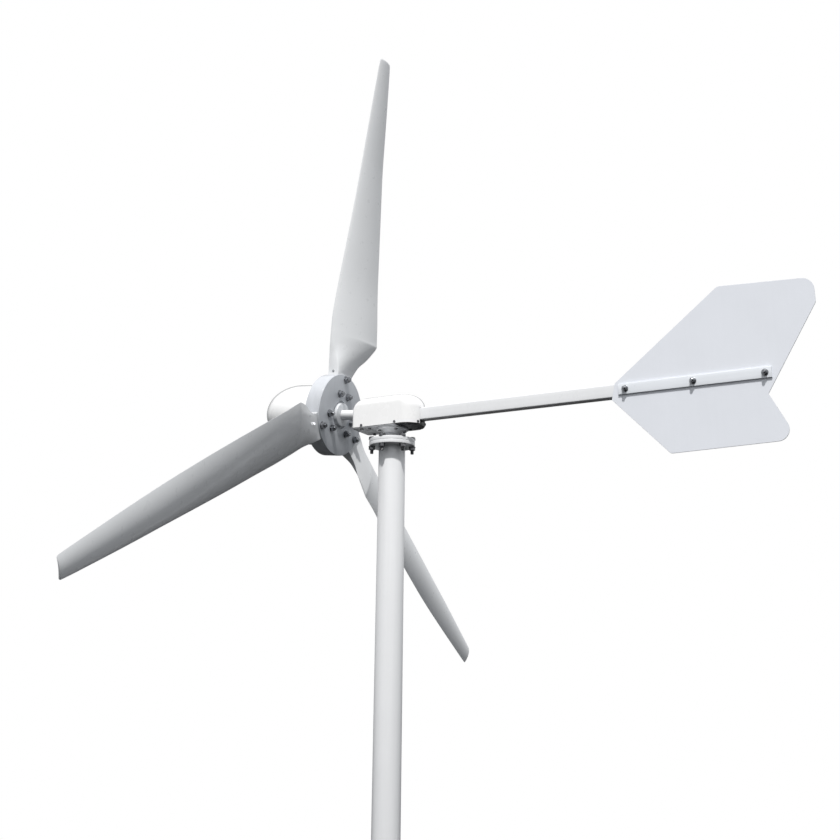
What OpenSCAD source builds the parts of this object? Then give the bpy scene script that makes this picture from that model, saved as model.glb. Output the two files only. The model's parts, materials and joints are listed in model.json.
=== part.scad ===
// Small three-bladed wind turbine: upwind rotor, tail vane, free yaw on a flanged mast section.
// Millimetres. +Z is up, +X points towards the tail.
// Origin: centre of the underside of the mast base flange, on the yaw axis.

/* [Mast] */
// Height of the underside of the mast top flange
mast_h = 1644; // [1600:4:2400]
// Outside diameter of the mast tube
mast_d = 108; // [108:0.5:112]
// Diameter of the two flanges at the yaw joint
yaw_flange_d = 186; // [186:2:210]
// Bolt circle of the two flanges at the yaw joint
yaw_pcd = 164; // [164:1:168]
// Diameter of the mast base flange
base_flange_d = 230; // [226:2:260]
// Bolt circle of the mast base flange
base_pcd = 190; // [186:1:192]
// Number of bolts in each flange
flange_bolts_n = 6; // [6:1:8]

/* [Rotor] */
// Length of one blade from its root end to its tip
blade_len = 1600; // [1500:10:1700]
// Nose-up tilt of the rotor axis in degrees
tilt = 6.2; // [4:0.1:7]
// Turn of the first blade away from straight up, in degrees
rotor_phase = -1.8; // [-30:0.2:30]
// Diameter of the hub drum
hub_d = 337; // [334:1:345]
// Distance of the hub's rear face in front of the yaw axis
overhang = 250; // [246:1:256]
// Height of the rotor axis at the hub's rear face above the mast top flange's underside
hub_rise = 157.6; // [156:0.2:159]
// Radius of the nose cone
nose_r = 125; // [115:1:130]
// Length of the nose cone
nose_len = 288; // [260:1:340]

/* [Nacelle] */
// Length of the nacelle cover
cover_l = 296; // [290:1:304]
// Width of the nacelle cover
cover_w = 142; // [140:1:156]
// Height of the nacelle from the underside of its tray to the top of the cover
cover_h = 128; // [126:1:140]

/* [Tail] */
// Distance from the yaw axis to the tail end of the boom
boom_reach = 1560; // [1556:2:1580]
// Width of the boom tube
boom_w = 40; // [36:1:44]
// Height of the boom tube
boom_h = 50; // [44:1:54]
// Thickness of the vane sheet
vane_t = 4; // [2:0.5:5]
// Scale of the vane outline's height
vane_scale = 1; // [0.8:0.05:1.2]

/* [Hidden] */
$fn = 72;

// gaps between separate pieces
fit = 0.02;          // seats that are pressed or clamped
run = 0.05;          // running fits

// mast
mast_wall = 3.6;
mast_r = mast_d / 2;
base_flange_t = 18;
base_hole_r = 9;
gusset_h = 90;
gusset_t = 8;
yaw_flange_t = 14;
joint_z = mast_h + yaw_flange_t;       // face where the two yaw flanges meet

// M14 hexagon fasteners
m14_r = 7;
m14_head_r = 12.7;
m14_head_h = 9;
m14_nut_h = 12;
m14_washer_r = 14;
m14_washer_t = 2.5;
m14_hole_r = 7.3;
m14_tail = 30;                         // nut and thread below the mast top flange
flange_turn = 180 / flange_bolts_n;    // turn of the bolt circle at the yaw joint

// M16 hexagon bolts and flanged nuts of the blade roots
m16_r = 8;
m16_head_r = 13.9;
m16_head_h = 10;
m16_nut_h = 16;
m16_flange_r = 16;
m16_flange_t = 2.5;
m16_hole_r = 8.3;

// yaw bearings, 25 x 40 x 16 in radii and width
yb_ri = 25;
yb_ro = 40;
yb_w = 16;
yb_ball = 4.5;
yb_balls_n = 14;
upper_yb_z = joint_z - 18;             // underside of the upper yaw bearing
lower_yb_z = joint_z - 130;            // underside of the lower yaw bearing

// yaw housing: flange with a sleeve that hangs inside the mast tube
sleeve_r = 50;
sleeve_z = joint_z - 138;              // lower end of the sleeve
cone_r = 45;
cone_h = 12;
flange_lip_t = 14;
yaw_housing_top = joint_z + flange_lip_t + cone_h;
spigot_r = 38;
spigot_h = 4;

// yaw tube
neck_r = 32;
neck_bore_r = 19;
yaw_plate_r = 65;
yaw_plate_t = 8;
flare_r = 44;                          // neck where it meets the yaw plate
flare_h = 16;
tray_z = mast_h + 74;                  // underside of the nacelle base tray
tail_tube_r = 20;
tail_tube_z = joint_z - 218;           // lower end of the yaw tube
tail_tube_l = 80;                      // length of its thinner end, which carries the slip rings
tail_tube_wall = 4;
locknut_h = 10;

// slip rings
drum_r = 26;
ring_r = 28;
ring_w = 10;
ring_pitch = 18;
rings_n = 3;
drum_h = 60;
brush_w = 11.6;
brush_h = 8;
brush_end = 42;                        // outer end of the brushes
brush_back = 46;                       // back of the slots they slide in
holder_ring_h = 16;
holder_ring_ri = 43;
holder_ri = 36;
holder_front = 12;                     // y of the segment's flat side

// nacelle base tray
tray_t = 5;
tray_wall = 3.5;
tray_rim_h = 17;
cover_wall = 2.5;
tray_gap = 0.3;
cover_front = -overhang + 96;          // x of the cover's front face
cover_back = cover_front + cover_l;    // x of the cover's tail end
cover_top = tray_z + cover_h;
cover_z = tray_z + 4.5;                // lower edge of the cover
cover_plan_r = cover_w / 2 - 3;        // round tail seen from above
cover_tail_r = 56;
cover_brow = [16, 34];                 // length and height of the slope that the brow rounds over
cover_side_r = 26;
tray_top = tray_z + tray_t;

// M8 hexagon fasteners through the tray
m8_r = 4;
m8_head_r = 7.5;
m8_head_h = 5.3;
m8_nut_h = 6.5;
m8_hole_r = 4.3;

// M5 round-headed screws of the cover and the blade roots
m5_r = 2.5;
m5_head_r = 5;
m5_head_h = 3;

yaw_plate_pcd = 106;
yaw_plate_bolts_n = 4;

// rotor axis stations, measured along the axis from the hub's rear face, positive downwind
hub_z = mast_h + hub_rise;
hub_r = hub_d / 2;
disc_t = 7;
root_t = 50;
front_t = 13;
root_rear = -disc_t;
root_front = root_rear - root_t;
drum_front = root_front - front_t;
rim_wall = 4;

// generator
gen_r = 48;
gen_wall = 3.5;
gen_front = 126;
shield_t = 24;
gen_back = 256;
stator_a = 161;
stator_b = 220;
stator_ri = 31;
slots_n = 12;
magnets_n = 8;
magnet_ri = 24.5;
magnet_ro = 30.4;
shaft_r = 21;
core_shaft_r = 19;
rear_shaft_r = 15;
nose_shaft_r = 17.5;
fb_ri = 20;                            // front bearing 20 x 34 x 15 in radii and width
fb_ro = 34;
fb_w = 15;
fb_a = 133;
rb_ri = 15;                            // rear bearing 15 x 27.5 x 13 in radii and width
rb_ro = 27.5;
rb_w = 13;
rb_a = 236;
shaft_ball = 3.8;
shaft_balls_n = 11;

// hub boss
boss_r = 50;
boss_rear = 11;
boss_flange_r = 70;
boss_flange_t = 12;
boss_front = root_rear - boss_flange_t;
boss_screws_n = 6;
boss_screw_pcd = 126;
disc_bore_r = 57.5;
key_w = 10;
key_h = 8;

// blade root bolts, in the blade's own directions: along the blade and across it
root_r = 72;                           // radius of the blade's root end
root_bolts = [[151, 0], [83, 31.5], [83, -31.5]];
blade_tail = 24;                       // nut and thread behind the hub disc
blade_angles = [for (k = [0:2]) rotor_phase + 120 * k];
tip_r = root_r + blade_len;

// tail boom
boom_front = 50;
boom_wall = 3;
boom_z = mast_h + 119;                 // height of the boom's centre line
bracket_t = 5;
bracket_x = [66, 108];                 // cross bolts of the boom
bracket_front = 52;
bracket_back = 128;
bracket_y = boom_w / 2 + run + bracket_t;

// M12 hexagon bolts and flanged nuts of the boom
m12_r = 6;
m12_head_r = 10.4;
m12_head_h = 7.5;
m12_nut_h = 12;
m12_flange_r = 13;
m12_flange_t = 2.5;
m12_hole_r = 6.3;

// vane and its clamp bar
clamp_front = 990;
clamp_back = 1568;
clamp_t = 7;
clamp_h = 40;
clamp_y = boom_w / 2 + vane_t + clamp_t;
clamp_tail = 20;                       // nut and thread outside the clamp bar
clamp_bolts_x = [1017, 1279, 1544];

paint = [0.93, 0.94, 0.95];
grey_paint = [0.72, 0.74, 0.77];
dark_paint = [0.16, 0.17, 0.18];
steel = [0.62, 0.63, 0.65];
dark_steel = [0.22, 0.22, 0.23];
bright_steel = [0.80, 0.81, 0.83];
alu = [0.77, 0.78, 0.80];
copper = [0.72, 0.42, 0.24];
rubber = [0.07, 0.07, 0.07];
plastic = [0.12, 0.12, 0.13];
magnet_grey = [0.45, 0.46, 0.50];
carbon = [0.10, 0.10, 0.11];

// ---------------------------------------------------------------- shared shapes

// ring between two radii and two heights
module ring(ro, ri, z0, z1) {
    difference() {
        translate([0, 0, z0]) cylinder(r = ro, h = z1 - z0);
        translate([0, 0, z0 - 1]) cylinder(r = ri, h = z1 - z0 + 2);
    }
}

// children repeated on a circle, the first at angle a0
module around(n, r, a0 = 0) {
    for (i = [0:n - 1]) rotate(a0 + 360 * i / n) translate([r, 0, 0]) children();
}

// hexagon bolt: the head stands on z = 0, the shank hangs below it
module hex_bolt(r, head_r, head_h, len) {
    cylinder(r = head_r, h = head_h, $fn = 6);
    translate([0, 0, -len]) cylinder(r = r, h = len);
}

// hexagon nut standing on z = 0
module hex_nut(r, head_r, h) {
    difference() {
        cylinder(r = head_r, h = h, $fn = 6);
        translate([0, 0, -1]) cylinder(r = r + fit, h = h + 2);
    }
}

// hexagon nut with a round flange, standing on z = 0
module flange_nut(r, head_r, h, flange_r, flange_t) {
    difference() {
        union() {
            cylinder(r = head_r, h = h, $fn = 6);
            cylinder(r = flange_r, h = flange_t);
        }
        translate([0, 0, -1]) cylinder(r = r + fit, h = h + 2);
    }
}

// round-headed screw: the head stands on z = 0, the shank hangs below it
module pan_screw(r, head_r, head_h, len) {
    difference() {
        cylinder(r = head_r, h = head_h);
        translate([0, 0, head_h / 2]) cylinder(r = r * 0.7, h = head_h, $fn = 6);
    }
    translate([0, 0, -len]) cylinder(r = r, h = len);
}

// raceway groove of a ball bearing, as a torus to cut away
module race_groove(rp, ball) {
    rotate_extrude() translate([rp, 0]) circle(r = ball + run);
}

module outer_race(ri, ro, w, ball) {
    rp = (ri + ro) / 2;
    difference() {
        ring(ro - fit, rp + ball * 0.55, 0, w);
        translate([0, 0, w / 2]) race_groove(rp, ball);
    }
}

module inner_race(ri, ro, w, ball) {
    rp = (ri + ro) / 2;
    difference() {
        ring(rp - ball * 0.55, ri + fit, 0, w);
        translate([0, 0, w / 2]) race_groove(rp, ball);
    }
}

module bearing_balls(ri, ro, w, ball, n) {
    around(n, (ri + ro) / 2) translate([0, 0, w / 2]) sphere(r = ball);
}

// frame of the rotor: x along "up" in the rotor plane, y towards -Y, z downwind along the axis
module rotor_frame() {
    translate([-overhang, 0, hub_z]) rotate([0, 90 + tilt, 0]) rotate(180) children();
}

// frame of one blade: x along the blade, y towards its leading edge, z downwind
module blade_frame(k) {
    rotor_frame() rotate(blade_angles[k]) children();
}

// points of an outline whose corners [x, y, radius] are rounded by arcs
function rounded(c, steps = 6) = [
    for (i = [0:len(c) - 1])
        let (
            p = [c[i].x, c[i].y],
            prev = c[(i + len(c) - 1) % len(c)],
            next = c[(i + 1) % len(c)],
            u = unit([prev.x, prev.y] - p),
            v = unit([next.x, next.y] - p),
            half = acos(u * v) / 2,
            centre = p + unit(u + v) * c[i][2] / sin(half),
            start = p + u * c[i][2] / tan(half) - centre,
            side = sign(cross(u, v)),
            sweep = side * (180 - 2 * half)
        )
        for (j = [0:steps]) centre + turned(start, -sweep * j / steps)
];
function unit(v) = v / norm(v);
function turned(v, a) = [v.x * cos(a) - v.y * sin(a), v.x * sin(a) + v.y * cos(a)];

// ---------------------------------------------------------------- mast (fixed)

module mast_base_flange() {
    color(grey_paint) {
        difference() {
            ring(base_flange_d / 2, mast_r + run, 0, base_flange_t);
            around(flange_bolts_n, base_pcd / 2)
                translate([0, 0, -1]) cylinder(r = base_hole_r, h = base_flange_t + 2);
        }
        for (i = [0:flange_bolts_n - 1])
            rotate(360 * (i + 0.5) / flange_bolts_n) translate([0, gusset_t / 2, 0])
                rotate([90, 0, 0]) linear_extrude(gusset_t) polygon([
                    [mast_r + run, base_flange_t - 1], [base_flange_d / 2 - 10, base_flange_t - 1],
                    [base_flange_d / 2 - 10, base_flange_t + 6], [mast_r + 8, gusset_h],
                    [mast_r + run, gusset_h]
                ]);
    }
}

module mast_tube() {
    color(grey_paint) ring(mast_r, mast_r - mast_wall, 2, joint_z - 3);
}

module mast_top_flange() {
    color(grey_paint) difference() {
        ring(yaw_flange_d / 2, mast_r + run, mast_h, joint_z);
        around(flange_bolts_n, yaw_pcd / 2, flange_turn)
            translate([0, 0, mast_h - 1]) cylinder(r = m14_hole_r, h = yaw_flange_t + 2);
    }
}

module flange_bolts() {
    head_z = joint_z + flange_lip_t + m14_washer_t + 2 * fit;
    color(dark_steel) around(flange_bolts_n, yaw_pcd / 2, flange_turn)
        translate([0, 0, head_z]) hex_bolt(m14_r, m14_head_r, m14_head_h, head_z - mast_h + m14_tail);
}

module flange_nuts() {
    color(dark_steel) around(flange_bolts_n, yaw_pcd / 2, flange_turn)
        translate([0, 0, mast_h - m14_washer_t - m14_nut_h]) hex_nut(m14_r, m14_head_r, m14_nut_h);
}

module flange_washers() {
    color(dark_steel) around(flange_bolts_n, yaw_pcd / 2, flange_turn) {
        ring(m14_washer_r, m14_hole_r, mast_h - m14_washer_t, mast_h);
        translate([0, 0, joint_z + flange_lip_t + fit]) ring(m14_washer_r, m14_hole_r, 0, m14_washer_t);
    }
}

// flange with a low cone on top and a bearing sleeve below
module yaw_housing() {
    rim_z = joint_z + flange_lip_t;
    bore_top = joint_z - 2;
    color(grey_paint) difference() {
        union() {
            translate([0, 0, joint_z]) cylinder(r = yaw_flange_d / 2, h = flange_lip_t);
            translate([0, 0, rim_z]) cylinder(r1 = yaw_pcd / 2 - 20, r2 = cone_r, h = cone_h);
            translate([0, 0, yaw_housing_top]) cylinder(r = spigot_r, h = spigot_h);
            translate([0, 0, sleeve_z]) cylinder(r = sleeve_r, h = joint_z - sleeve_z);
        }
        translate([0, 0, sleeve_z - 1]) cylinder(r = yb_ro, h = bore_top - sleeve_z + 1);
        translate([0, 0, sleeve_z]) cylinder(r = neck_r + 2, h = yaw_housing_top + spigot_h + 1 - sleeve_z);
        ring(yb_ro + 1.6, yb_ro - 1, lower_yb_z - 2.6, lower_yb_z - 0.4);
        around(flange_bolts_n, yaw_pcd / 2, flange_turn)
            translate([0, 0, joint_z - 1]) cylinder(r = m14_hole_r, h = flange_lip_t + 2);
    }
}

module yaw_outer_races() {
    color(bright_steel) for (z = [lower_yb_z, upper_yb_z])
        translate([0, 0, z]) outer_race(yb_ri, yb_ro, yb_w, yb_ball);
}

module yaw_balls() {
    color(bright_steel) for (z = [lower_yb_z, upper_yb_z])
        translate([0, 0, z]) bearing_balls(yb_ri, yb_ro, yb_w, yb_ball, yb_balls_n);
}

module yaw_outer_spacer() {
    color(steel) ring(yb_ro - fit, yb_ro - 3, lower_yb_z + yb_w, upper_yb_z);
}

// internal circlip under the lower bearing, open towards +X
module yaw_circlip() {
    color(dark_steel) difference() {
        ring(yb_ro + 1.4, yb_ro - 3.5, lower_yb_z - 2.4, lower_yb_z - 0.6);
        translate([yb_ro - 8, -5, lower_yb_z - 4]) cube([16, 10, 6]);
    }
}

// insulating holder: a ring on the sleeve's end and a segment that carries the brushes
module brush_holder() {
    z0 = tail_tube_z;
    slot_w = brush_w + 0.4;
    slot_h = brush_h + 0.4;
    color(plastic) difference() {
        union() {
            ring(sleeve_r, holder_ring_ri, sleeve_z - holder_ring_h, sleeve_z);
            intersection() {
                ring(sleeve_r, holder_ri, z0, sleeve_z - holder_ring_h);
                translate([-sleeve_r, holder_front, z0]) cube([2 * sleeve_r, sleeve_r, sleeve_z - z0]);
            }
        }
        for (i = [0:rings_n - 1]) translate([-slot_w / 2, holder_front - 2, brush_z(i) - slot_h / 2])
            cube([slot_w, brush_back - holder_front + 2, slot_h]);
        translate([cable_x, cable_y, z0 - 1]) cylinder(r = cable_r + 0.5, h = 18);
    }
}
function brush_z(i) = tail_tube_z + 10 + drum_h / 2 + (i - 1) * ring_pitch;

module brushes() {
    color(carbon) for (i = [0:rings_n - 1]) difference() {
        translate([-brush_w / 2, 20, brush_z(i) - brush_h / 2]) cube([brush_w, brush_end - 20, brush_h]);
        translate([0, 0, brush_z(i) - 5]) cylinder(r = ring_r + run, h = 10);
    }
}

// bowed leaf spring between each brush and the back of its slot
module brush_springs() {
    bow_r = 5.83;
    color(bright_steel) for (i = [0:rings_n - 1]) translate([0, 0, brush_z(i) - 3])
        linear_extrude(6) intersection() {
            translate([0, brush_end + run + bow_r]) difference() {
                circle(r = bow_r);
                circle(r = bow_r - 0.6);
            }
            translate([-5.5, brush_end]) square([11, brush_back - brush_end - run]);
        }
}

// cable from the brush holder down to the foot of the mast
cable_x = 26;
cable_y = 33;
cable_r = 4.5;
module mast_cable() {
    color(rubber) translate([cable_x, cable_y, 6]) cylinder(r = cable_r, h = tail_tube_z + 10);
}

// ---------------------------------------------------------------- yaw parts (turn with the nacelle)

module yaw_tube() {
    shoulder_z = upper_yb_z + yb_w;
    plate_z = tray_z - yaw_plate_t;
    journal_z = tail_tube_z + tail_tube_l - 8;
    color(grey_paint) difference() {
        union() {
            translate([0, 0, tail_tube_z]) cylinder(r = tail_tube_r, h = tail_tube_l);
            translate([0, 0, journal_z]) cylinder(r = yb_ri, h = shoulder_z - journal_z);
            translate([0, 0, shoulder_z]) cylinder(r = neck_r, h = plate_z - shoulder_z);
            translate([0, 0, plate_z]) cylinder(r = yaw_plate_r, h = yaw_plate_t);
            translate([0, 0, plate_z - flare_h]) cylinder(r1 = neck_r, r2 = flare_r, h = flare_h);
        }
        translate([0, 0, tail_tube_z - 1]) cylinder(r = tail_tube_r - tail_tube_wall, h = tail_tube_l + 2);
        translate([0, 0, tail_tube_z + tail_tube_l]) cylinder(r = neck_bore_r, h = tray_z - tail_tube_z);
        around(yaw_plate_bolts_n, yaw_plate_pcd / 2, 45)
            translate([0, 0, plate_z - 1]) cylinder(r = m8_hole_r, h = yaw_plate_t + 2);
    }
}

module yaw_inner_races() {
    color(bright_steel) for (z = [lower_yb_z, upper_yb_z])
        translate([0, 0, z]) inner_race(yb_ri, yb_ro, yb_w, yb_ball);
}

module yaw_inner_spacer() {
    color(steel) ring(yb_ri + 3, yb_ri + fit, lower_yb_z + yb_w, upper_yb_z);
}

// slotted round nut that holds the inner races on the yaw tube
module yaw_locknut() {
    z0 = lower_yb_z - locknut_h;
    color(dark_steel) difference() {
        ring(35, yb_ri + fit, z0, lower_yb_z);
        around(4, 35) translate([-3, -3, z0 - 1]) cube([8, 6, locknut_h + 2]);
    }
}

// rubber cap ring on the neck that skirts the housing's spigot
module yaw_seal() {
    z0 = yaw_housing_top + 0.5;
    color(rubber) difference() {
        ring(spigot_r + 3, neck_r + fit, z0, z0 + spigot_h + 4);
        translate([0, 0, z0 - 1]) cylinder(r = spigot_r + run, h = spigot_h + 1.5);
    }
}

module slip_ring_drum() {
    z0 = tail_tube_z + 10;
    color(plastic) difference() {
        ring(drum_r, tail_tube_r + fit, z0, z0 + drum_h);
        for (i = [0:rings_n - 1])
            ring(drum_r + 1, drum_r - 2, brush_z(i) - ring_w / 2, brush_z(i) + ring_w / 2);
    }
}

module slip_rings() {
    color(copper) for (i = [0:rings_n - 1])
        ring(ring_r, drum_r - 2 + fit, brush_z(i) - ring_w / 2 + fit, brush_z(i) + ring_w / 2 - fit);
}

// ---------------------------------------------------------------- nacelle tray and cover

// plan outline of the cover, drawn in by a given distance
module cover_plan(inset) {
    polygon(rounded([
        [cover_front + inset, -cover_w / 2 + inset, 14],
        [cover_back - inset, -cover_w / 2 + inset, cover_plan_r - inset],
        [cover_back - inset, cover_w / 2 - inset, cover_plan_r - inset],
        [cover_front + inset, cover_w / 2 - inset, 14]
    ], 8));
}

// side outline of the cover: round tail and a longer, steeper brow at the front
module cover_side(inset) {
    lean = atan2(cover_brow.x, cover_brow.y);
    polygon(rounded([
        [cover_front + inset, cover_z - inset, 0.5],
        [cover_back - inset, cover_z - inset, 0.5],
        [cover_back - inset, cover_top - inset, cover_tail_r - inset],
        [cover_front + cover_brow.x + inset * tan(45 - lean / 2), cover_top - inset, 34 - inset],
        [cover_front + inset, cover_top - cover_brow.y - inset * tan(lean / 2), 70 - inset]
    ], 8));
}

// closed body of the cover, drawn in by a given distance: plan, side and front outlines together
module cover_body(inset) {
    half = cover_w / 2 - inset;
    intersection() {
        translate([0, 0, tray_z - 10]) linear_extrude(cover_h + 20) cover_plan(inset);
        translate([0, cover_w, 0]) rotate([90, 0, 0]) linear_extrude(2 * cover_w) cover_side(inset);
        translate([cover_front - 10, 0, 0]) rotate([90, 0, 90]) linear_extrude(cover_l + 20) polygon(rounded([
            [-half, cover_z - inset, 0.5],
            [half, cover_z - inset, 0.5],
            [half, cover_top - inset, cover_side_r - inset],
            [-half, cover_top - inset, cover_side_r - inset]
        ], 8));
    }
}

// height of the rotor axis at a place along the turbine
function axis_z(x) = hub_z - (x + overhang) * tan(tilt);

module nacelle_cover() {
    shaft_z = axis_z(cover_front);
    slot_r = shaft_r + 4;
    boom_gap = 1.5;
    color(paint) difference() {
        cover_body(0);
        cover_body(cover_wall);
        translate([cover_front - 5, 0, shaft_z]) rotate([0, 90, 0]) cylinder(r = slot_r, h = 30);
        translate([cover_front - 5, -slot_r, tray_z - 1]) cube([30, 2 * slot_r, shaft_z - tray_z + 1]);
        translate([cover_back - 30, -boom_w / 2 - boom_gap, tray_z - 1])
            cube([40, boom_w + 2 * boom_gap, boom_z + boom_h / 2 + boom_gap - tray_z + 1]);
        cover_screw_places() translate([0, 0, -12]) cylinder(r = m5_r + 0.2, h = 16);
    }
}

// places of the cover's screws, z pointing outwards
cover_screw_z = tray_z + 11;
side_screws_x = [-106, 49];
tail_screw_a = 25;
front_screw_y = 39;
module cover_screw_places() {
    for (x = side_screws_x, s = [-1, 1])
        translate([x, s * cover_w / 2, cover_screw_z]) rotate([-s * 90, 0, 0]) children();
    for (s = [-1, 1]) {
        translate([cover_back - cover_plan_r, s * (cover_w / 2 - cover_plan_r), cover_screw_z])
            rotate(s * tail_screw_a) translate([cover_plan_r, 0, 0]) rotate([0, 90, 0]) children();
        translate([cover_front, s * front_screw_y, cover_screw_z]) rotate([0, -90, 0]) children();
    }
}

module cover_screws() {
    color(dark_steel) cover_screw_places() pan_screw(m5_r, m5_head_r, m5_head_h, 9);
}

// places of the M8 bolts through the tray: yaw plate, cradle and boom bracket
cradle_x = [-114, -77];
cradle_bolts = [for (x = cradle_x, y = [-53, 53]) [x, y]];
bracket_bolts = [for (x = [62, 102], y = [-41, 41]) [x, y]];
module tray_bolt_places() {
    around(yaw_plate_bolts_n, yaw_plate_pcd / 2, 45) translate([0, 0, tray_z - yaw_plate_t]) children();
    for (p = concat(cradle_bolts, bracket_bolts)) translate([p.x, p.y, tray_z]) children();
}

// folded steel tray with an upturned rim
module base_tray() {
    inset = cover_wall + tray_gap;
    color(grey_paint) difference() {
        translate([0, 0, tray_z]) linear_extrude(tray_rim_h) cover_plan(inset);
        translate([0, 0, tray_top]) linear_extrude(tray_rim_h) cover_plan(inset + tray_wall);
        translate([0, 0, tray_z - 1]) cylinder(r = neck_bore_r, h = tray_t + 2);
        tray_bolt_places() translate([0, 0, -1]) cylinder(r = m8_hole_r, h = 30);
        cover_screw_places() translate([0, 0, -12]) cylinder(r = m5_r + fit, h = 14);
    }
}

module tray_bolts() {
    color(dark_steel) {
        around(yaw_plate_bolts_n, yaw_plate_pcd / 2, 45) translate([0, 0, tray_z - yaw_plate_t - fit])
            mirror([0, 0, 1]) hex_bolt(m8_r, m8_head_r, m8_head_h, yaw_plate_t + tray_t + m8_nut_h + 2);
        for (p = concat(cradle_bolts, bracket_bolts)) translate([p.x, p.y, tray_z])
            mirror([0, 0, 1]) hex_bolt(m8_r, m8_head_r, m8_head_h, tray_t + 6 + m8_nut_h + 2);
    }
}

module tray_nuts() {
    color(dark_steel) {
        around(yaw_plate_bolts_n, yaw_plate_pcd / 2, 45)
            translate([0, 0, tray_top]) hex_nut(m8_r, m8_head_r, m8_nut_h);
        for (p = concat(cradle_bolts, bracket_bolts)) translate([p.x, p.y, tray_top + 6])
            hex_nut(m8_r, m8_head_r, m8_nut_h);
    }
}

// ---------------------------------------------------------------- generator

module generator_housing() {
    color(alu) rotor_frame()
        ring(gen_r, gen_r - gen_wall, gen_front + shield_t - 4, gen_back - shield_t + 4);
}

gland_r = 36;          // the phase cable leaves the rear shield this far under its centre
tie_r = 2.5;
tie_pcd_r = gen_r - gen_wall - tie_r - 1.4;

module front_shield() {
    color(alu) rotor_frame() difference() {
        union() {
            translate([0, 0, gen_front]) cylinder(r = gen_r, h = shield_t - 4);
            translate([0, 0, gen_front]) cylinder(r = gen_r - gen_wall - fit, h = shield_t);
        }
        translate([0, 0, gen_front - 1]) cylinder(r = shaft_r + 7 + fit, h = 7);
        translate([0, 0, gen_front + 5]) cylinder(r = shaft_r + 3, h = shield_t);
        translate([0, 0, fb_a]) cylinder(r = fb_ro, h = shield_t);
        around(4, tie_pcd_r, 45) translate([0, 0, gen_front - 1]) cylinder(r = tie_r + 0.3, h = shield_t + 2);
    }
}

module rear_shield() {
    a = gen_back - shield_t;
    color(alu) rotor_frame() difference() {
        union() {
            translate([0, 0, a + 4]) cylinder(r = gen_r, h = shield_t - 4);
            translate([0, 0, a]) cylinder(r = gen_r - gen_wall - fit, h = shield_t);
        }
        translate([0, 0, a - 1]) cylinder(r = rb_ro, h = rb_a + rb_w - a + 1);
        around(4, tie_pcd_r, 45) translate([0, 0, a - 1]) cylinder(r = tie_r + fit, h = shield_t - 1);
        rotate(180) translate([gland_r, 0, a - 1]) cylinder(r = 6, h = shield_t + 2);
    }
}

// four long screws from the front shield into threads of the rear shield
module tie_rods() {
    head_h = 5;
    color(dark_steel) rotor_frame() around(4, tie_pcd_r, 45) translate([0, 0, gen_front - fit])
        mirror([0, 0, 1]) hex_bolt(tie_r, 5, head_h, gen_back - gen_front - 3);
}

// slotted ring of laminations
module stator_core() {
    cut_z = stator_a - 1;
    cut_h = stator_b - stator_a + 2;
    color(steel) rotor_frame() difference() {
        ring(gen_r - gen_wall - fit, stator_ri, stator_a, stator_b);
        around(slots_n, 0) translate([stator_ri - 1, -1.5, cut_z]) cube([4, 3, cut_h]);
        around(slots_n, 0) translate([stator_ri + 2.4, -3.5, cut_z]) cube([6.6, 7, cut_h]);
        around(4, tie_pcd_r, 45) translate([0, 0, cut_z]) cylinder(r = tie_r + 0.3, h = cut_h);
    }
}

// copper bars in the slots joined by an end turn ring at each end
module stator_windings() {
    color(copper) rotor_frame() {
        around(slots_n, 0)
            translate([stator_ri + 2.7, -3.2, stator_a - 5]) cube([6, 6.4, stator_b - stator_a + 10]);
        ring(stator_ri + 5.8, stator_ri + 2, stator_a - 9, stator_a - 1);
        ring(stator_ri + 5.8, stator_ri + 2, stator_b + 1, stator_b + 9);
    }
}

module shaft_outer_races() {
    color(bright_steel) rotor_frame() {
        translate([0, 0, fb_a]) outer_race(fb_ri, fb_ro, fb_w, shaft_ball);
        translate([0, 0, rb_a]) outer_race(rb_ri, rb_ro, rb_w, shaft_ball);
    }
}

module shaft_balls() {
    color(bright_steel) rotor_frame() {
        translate([0, 0, fb_a]) bearing_balls(fb_ri, fb_ro, fb_w, shaft_ball, shaft_balls_n);
        translate([0, 0, rb_a]) bearing_balls(rb_ri, rb_ro, rb_w, shaft_ball, shaft_balls_n);
    }
}

module shaft_seal() {
    color(rubber) rotor_frame() ring(shaft_r + 7, shaft_r + run, gen_front - 0.5, gen_front + 5);
}

// two saddle plates on feet that carry the tilted generator
module generator_cradle() {
    foot_w = 20;
    plate_t = 10;
    color(dark_paint) for (x = cradle_x) difference() {
        union() {
            translate([x - foot_w / 2, -62, tray_top]) cube([foot_w, 124, 6]);
            translate([x - plate_t / 2, -40, tray_top]) cube([plate_t, 80, axis_z(x) - tray_top - 18]);
        }
        rotor_frame() translate([0, 0, gen_front - 10]) cylinder(r = gen_r + fit, h = gen_back);
        for (p = cradle_bolts) translate([p.x, p.y, tray_z]) cylinder(r = m8_hole_r, h = 30);
    }
}

// cable from the generator's rear shield down the yaw tube to the slip rings
module phase_cable() {
    r = 4;
    x = 11;
    out_z = axis_z(0) - gland_r;
    start_z = tail_tube_z + 12;
    color(rubber) {
        translate([x, 0, start_z]) cylinder(r = r, h = out_z - start_z);
        translate([x, 0, out_z]) sphere(r = r);
        translate([-9, 0, out_z]) rotate([0, 90, 0]) cylinder(r = r, h = x + 9);
    }
}

// ---------------------------------------------------------------- boom and vane

module boom() {
    cy = boom_w / 2;
    color(paint) difference() {
        translate([boom_front, -cy, boom_z - boom_h / 2]) cube([boom_reach - boom_front, boom_w, boom_h]);
        translate([boom_front - 1, -cy + boom_wall, boom_z - boom_h / 2 + boom_wall])
            cube([boom_reach - boom_front - 9, boom_w - 2 * boom_wall, boom_h - 2 * boom_wall]);
        for (x = concat(bracket_x, clamp_bolts_x)) translate([x, cy + 1, boom_z])
            rotate([90, 0, 0]) cylinder(r = m12_hole_r, h = boom_w + 2);
    }
}

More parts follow.
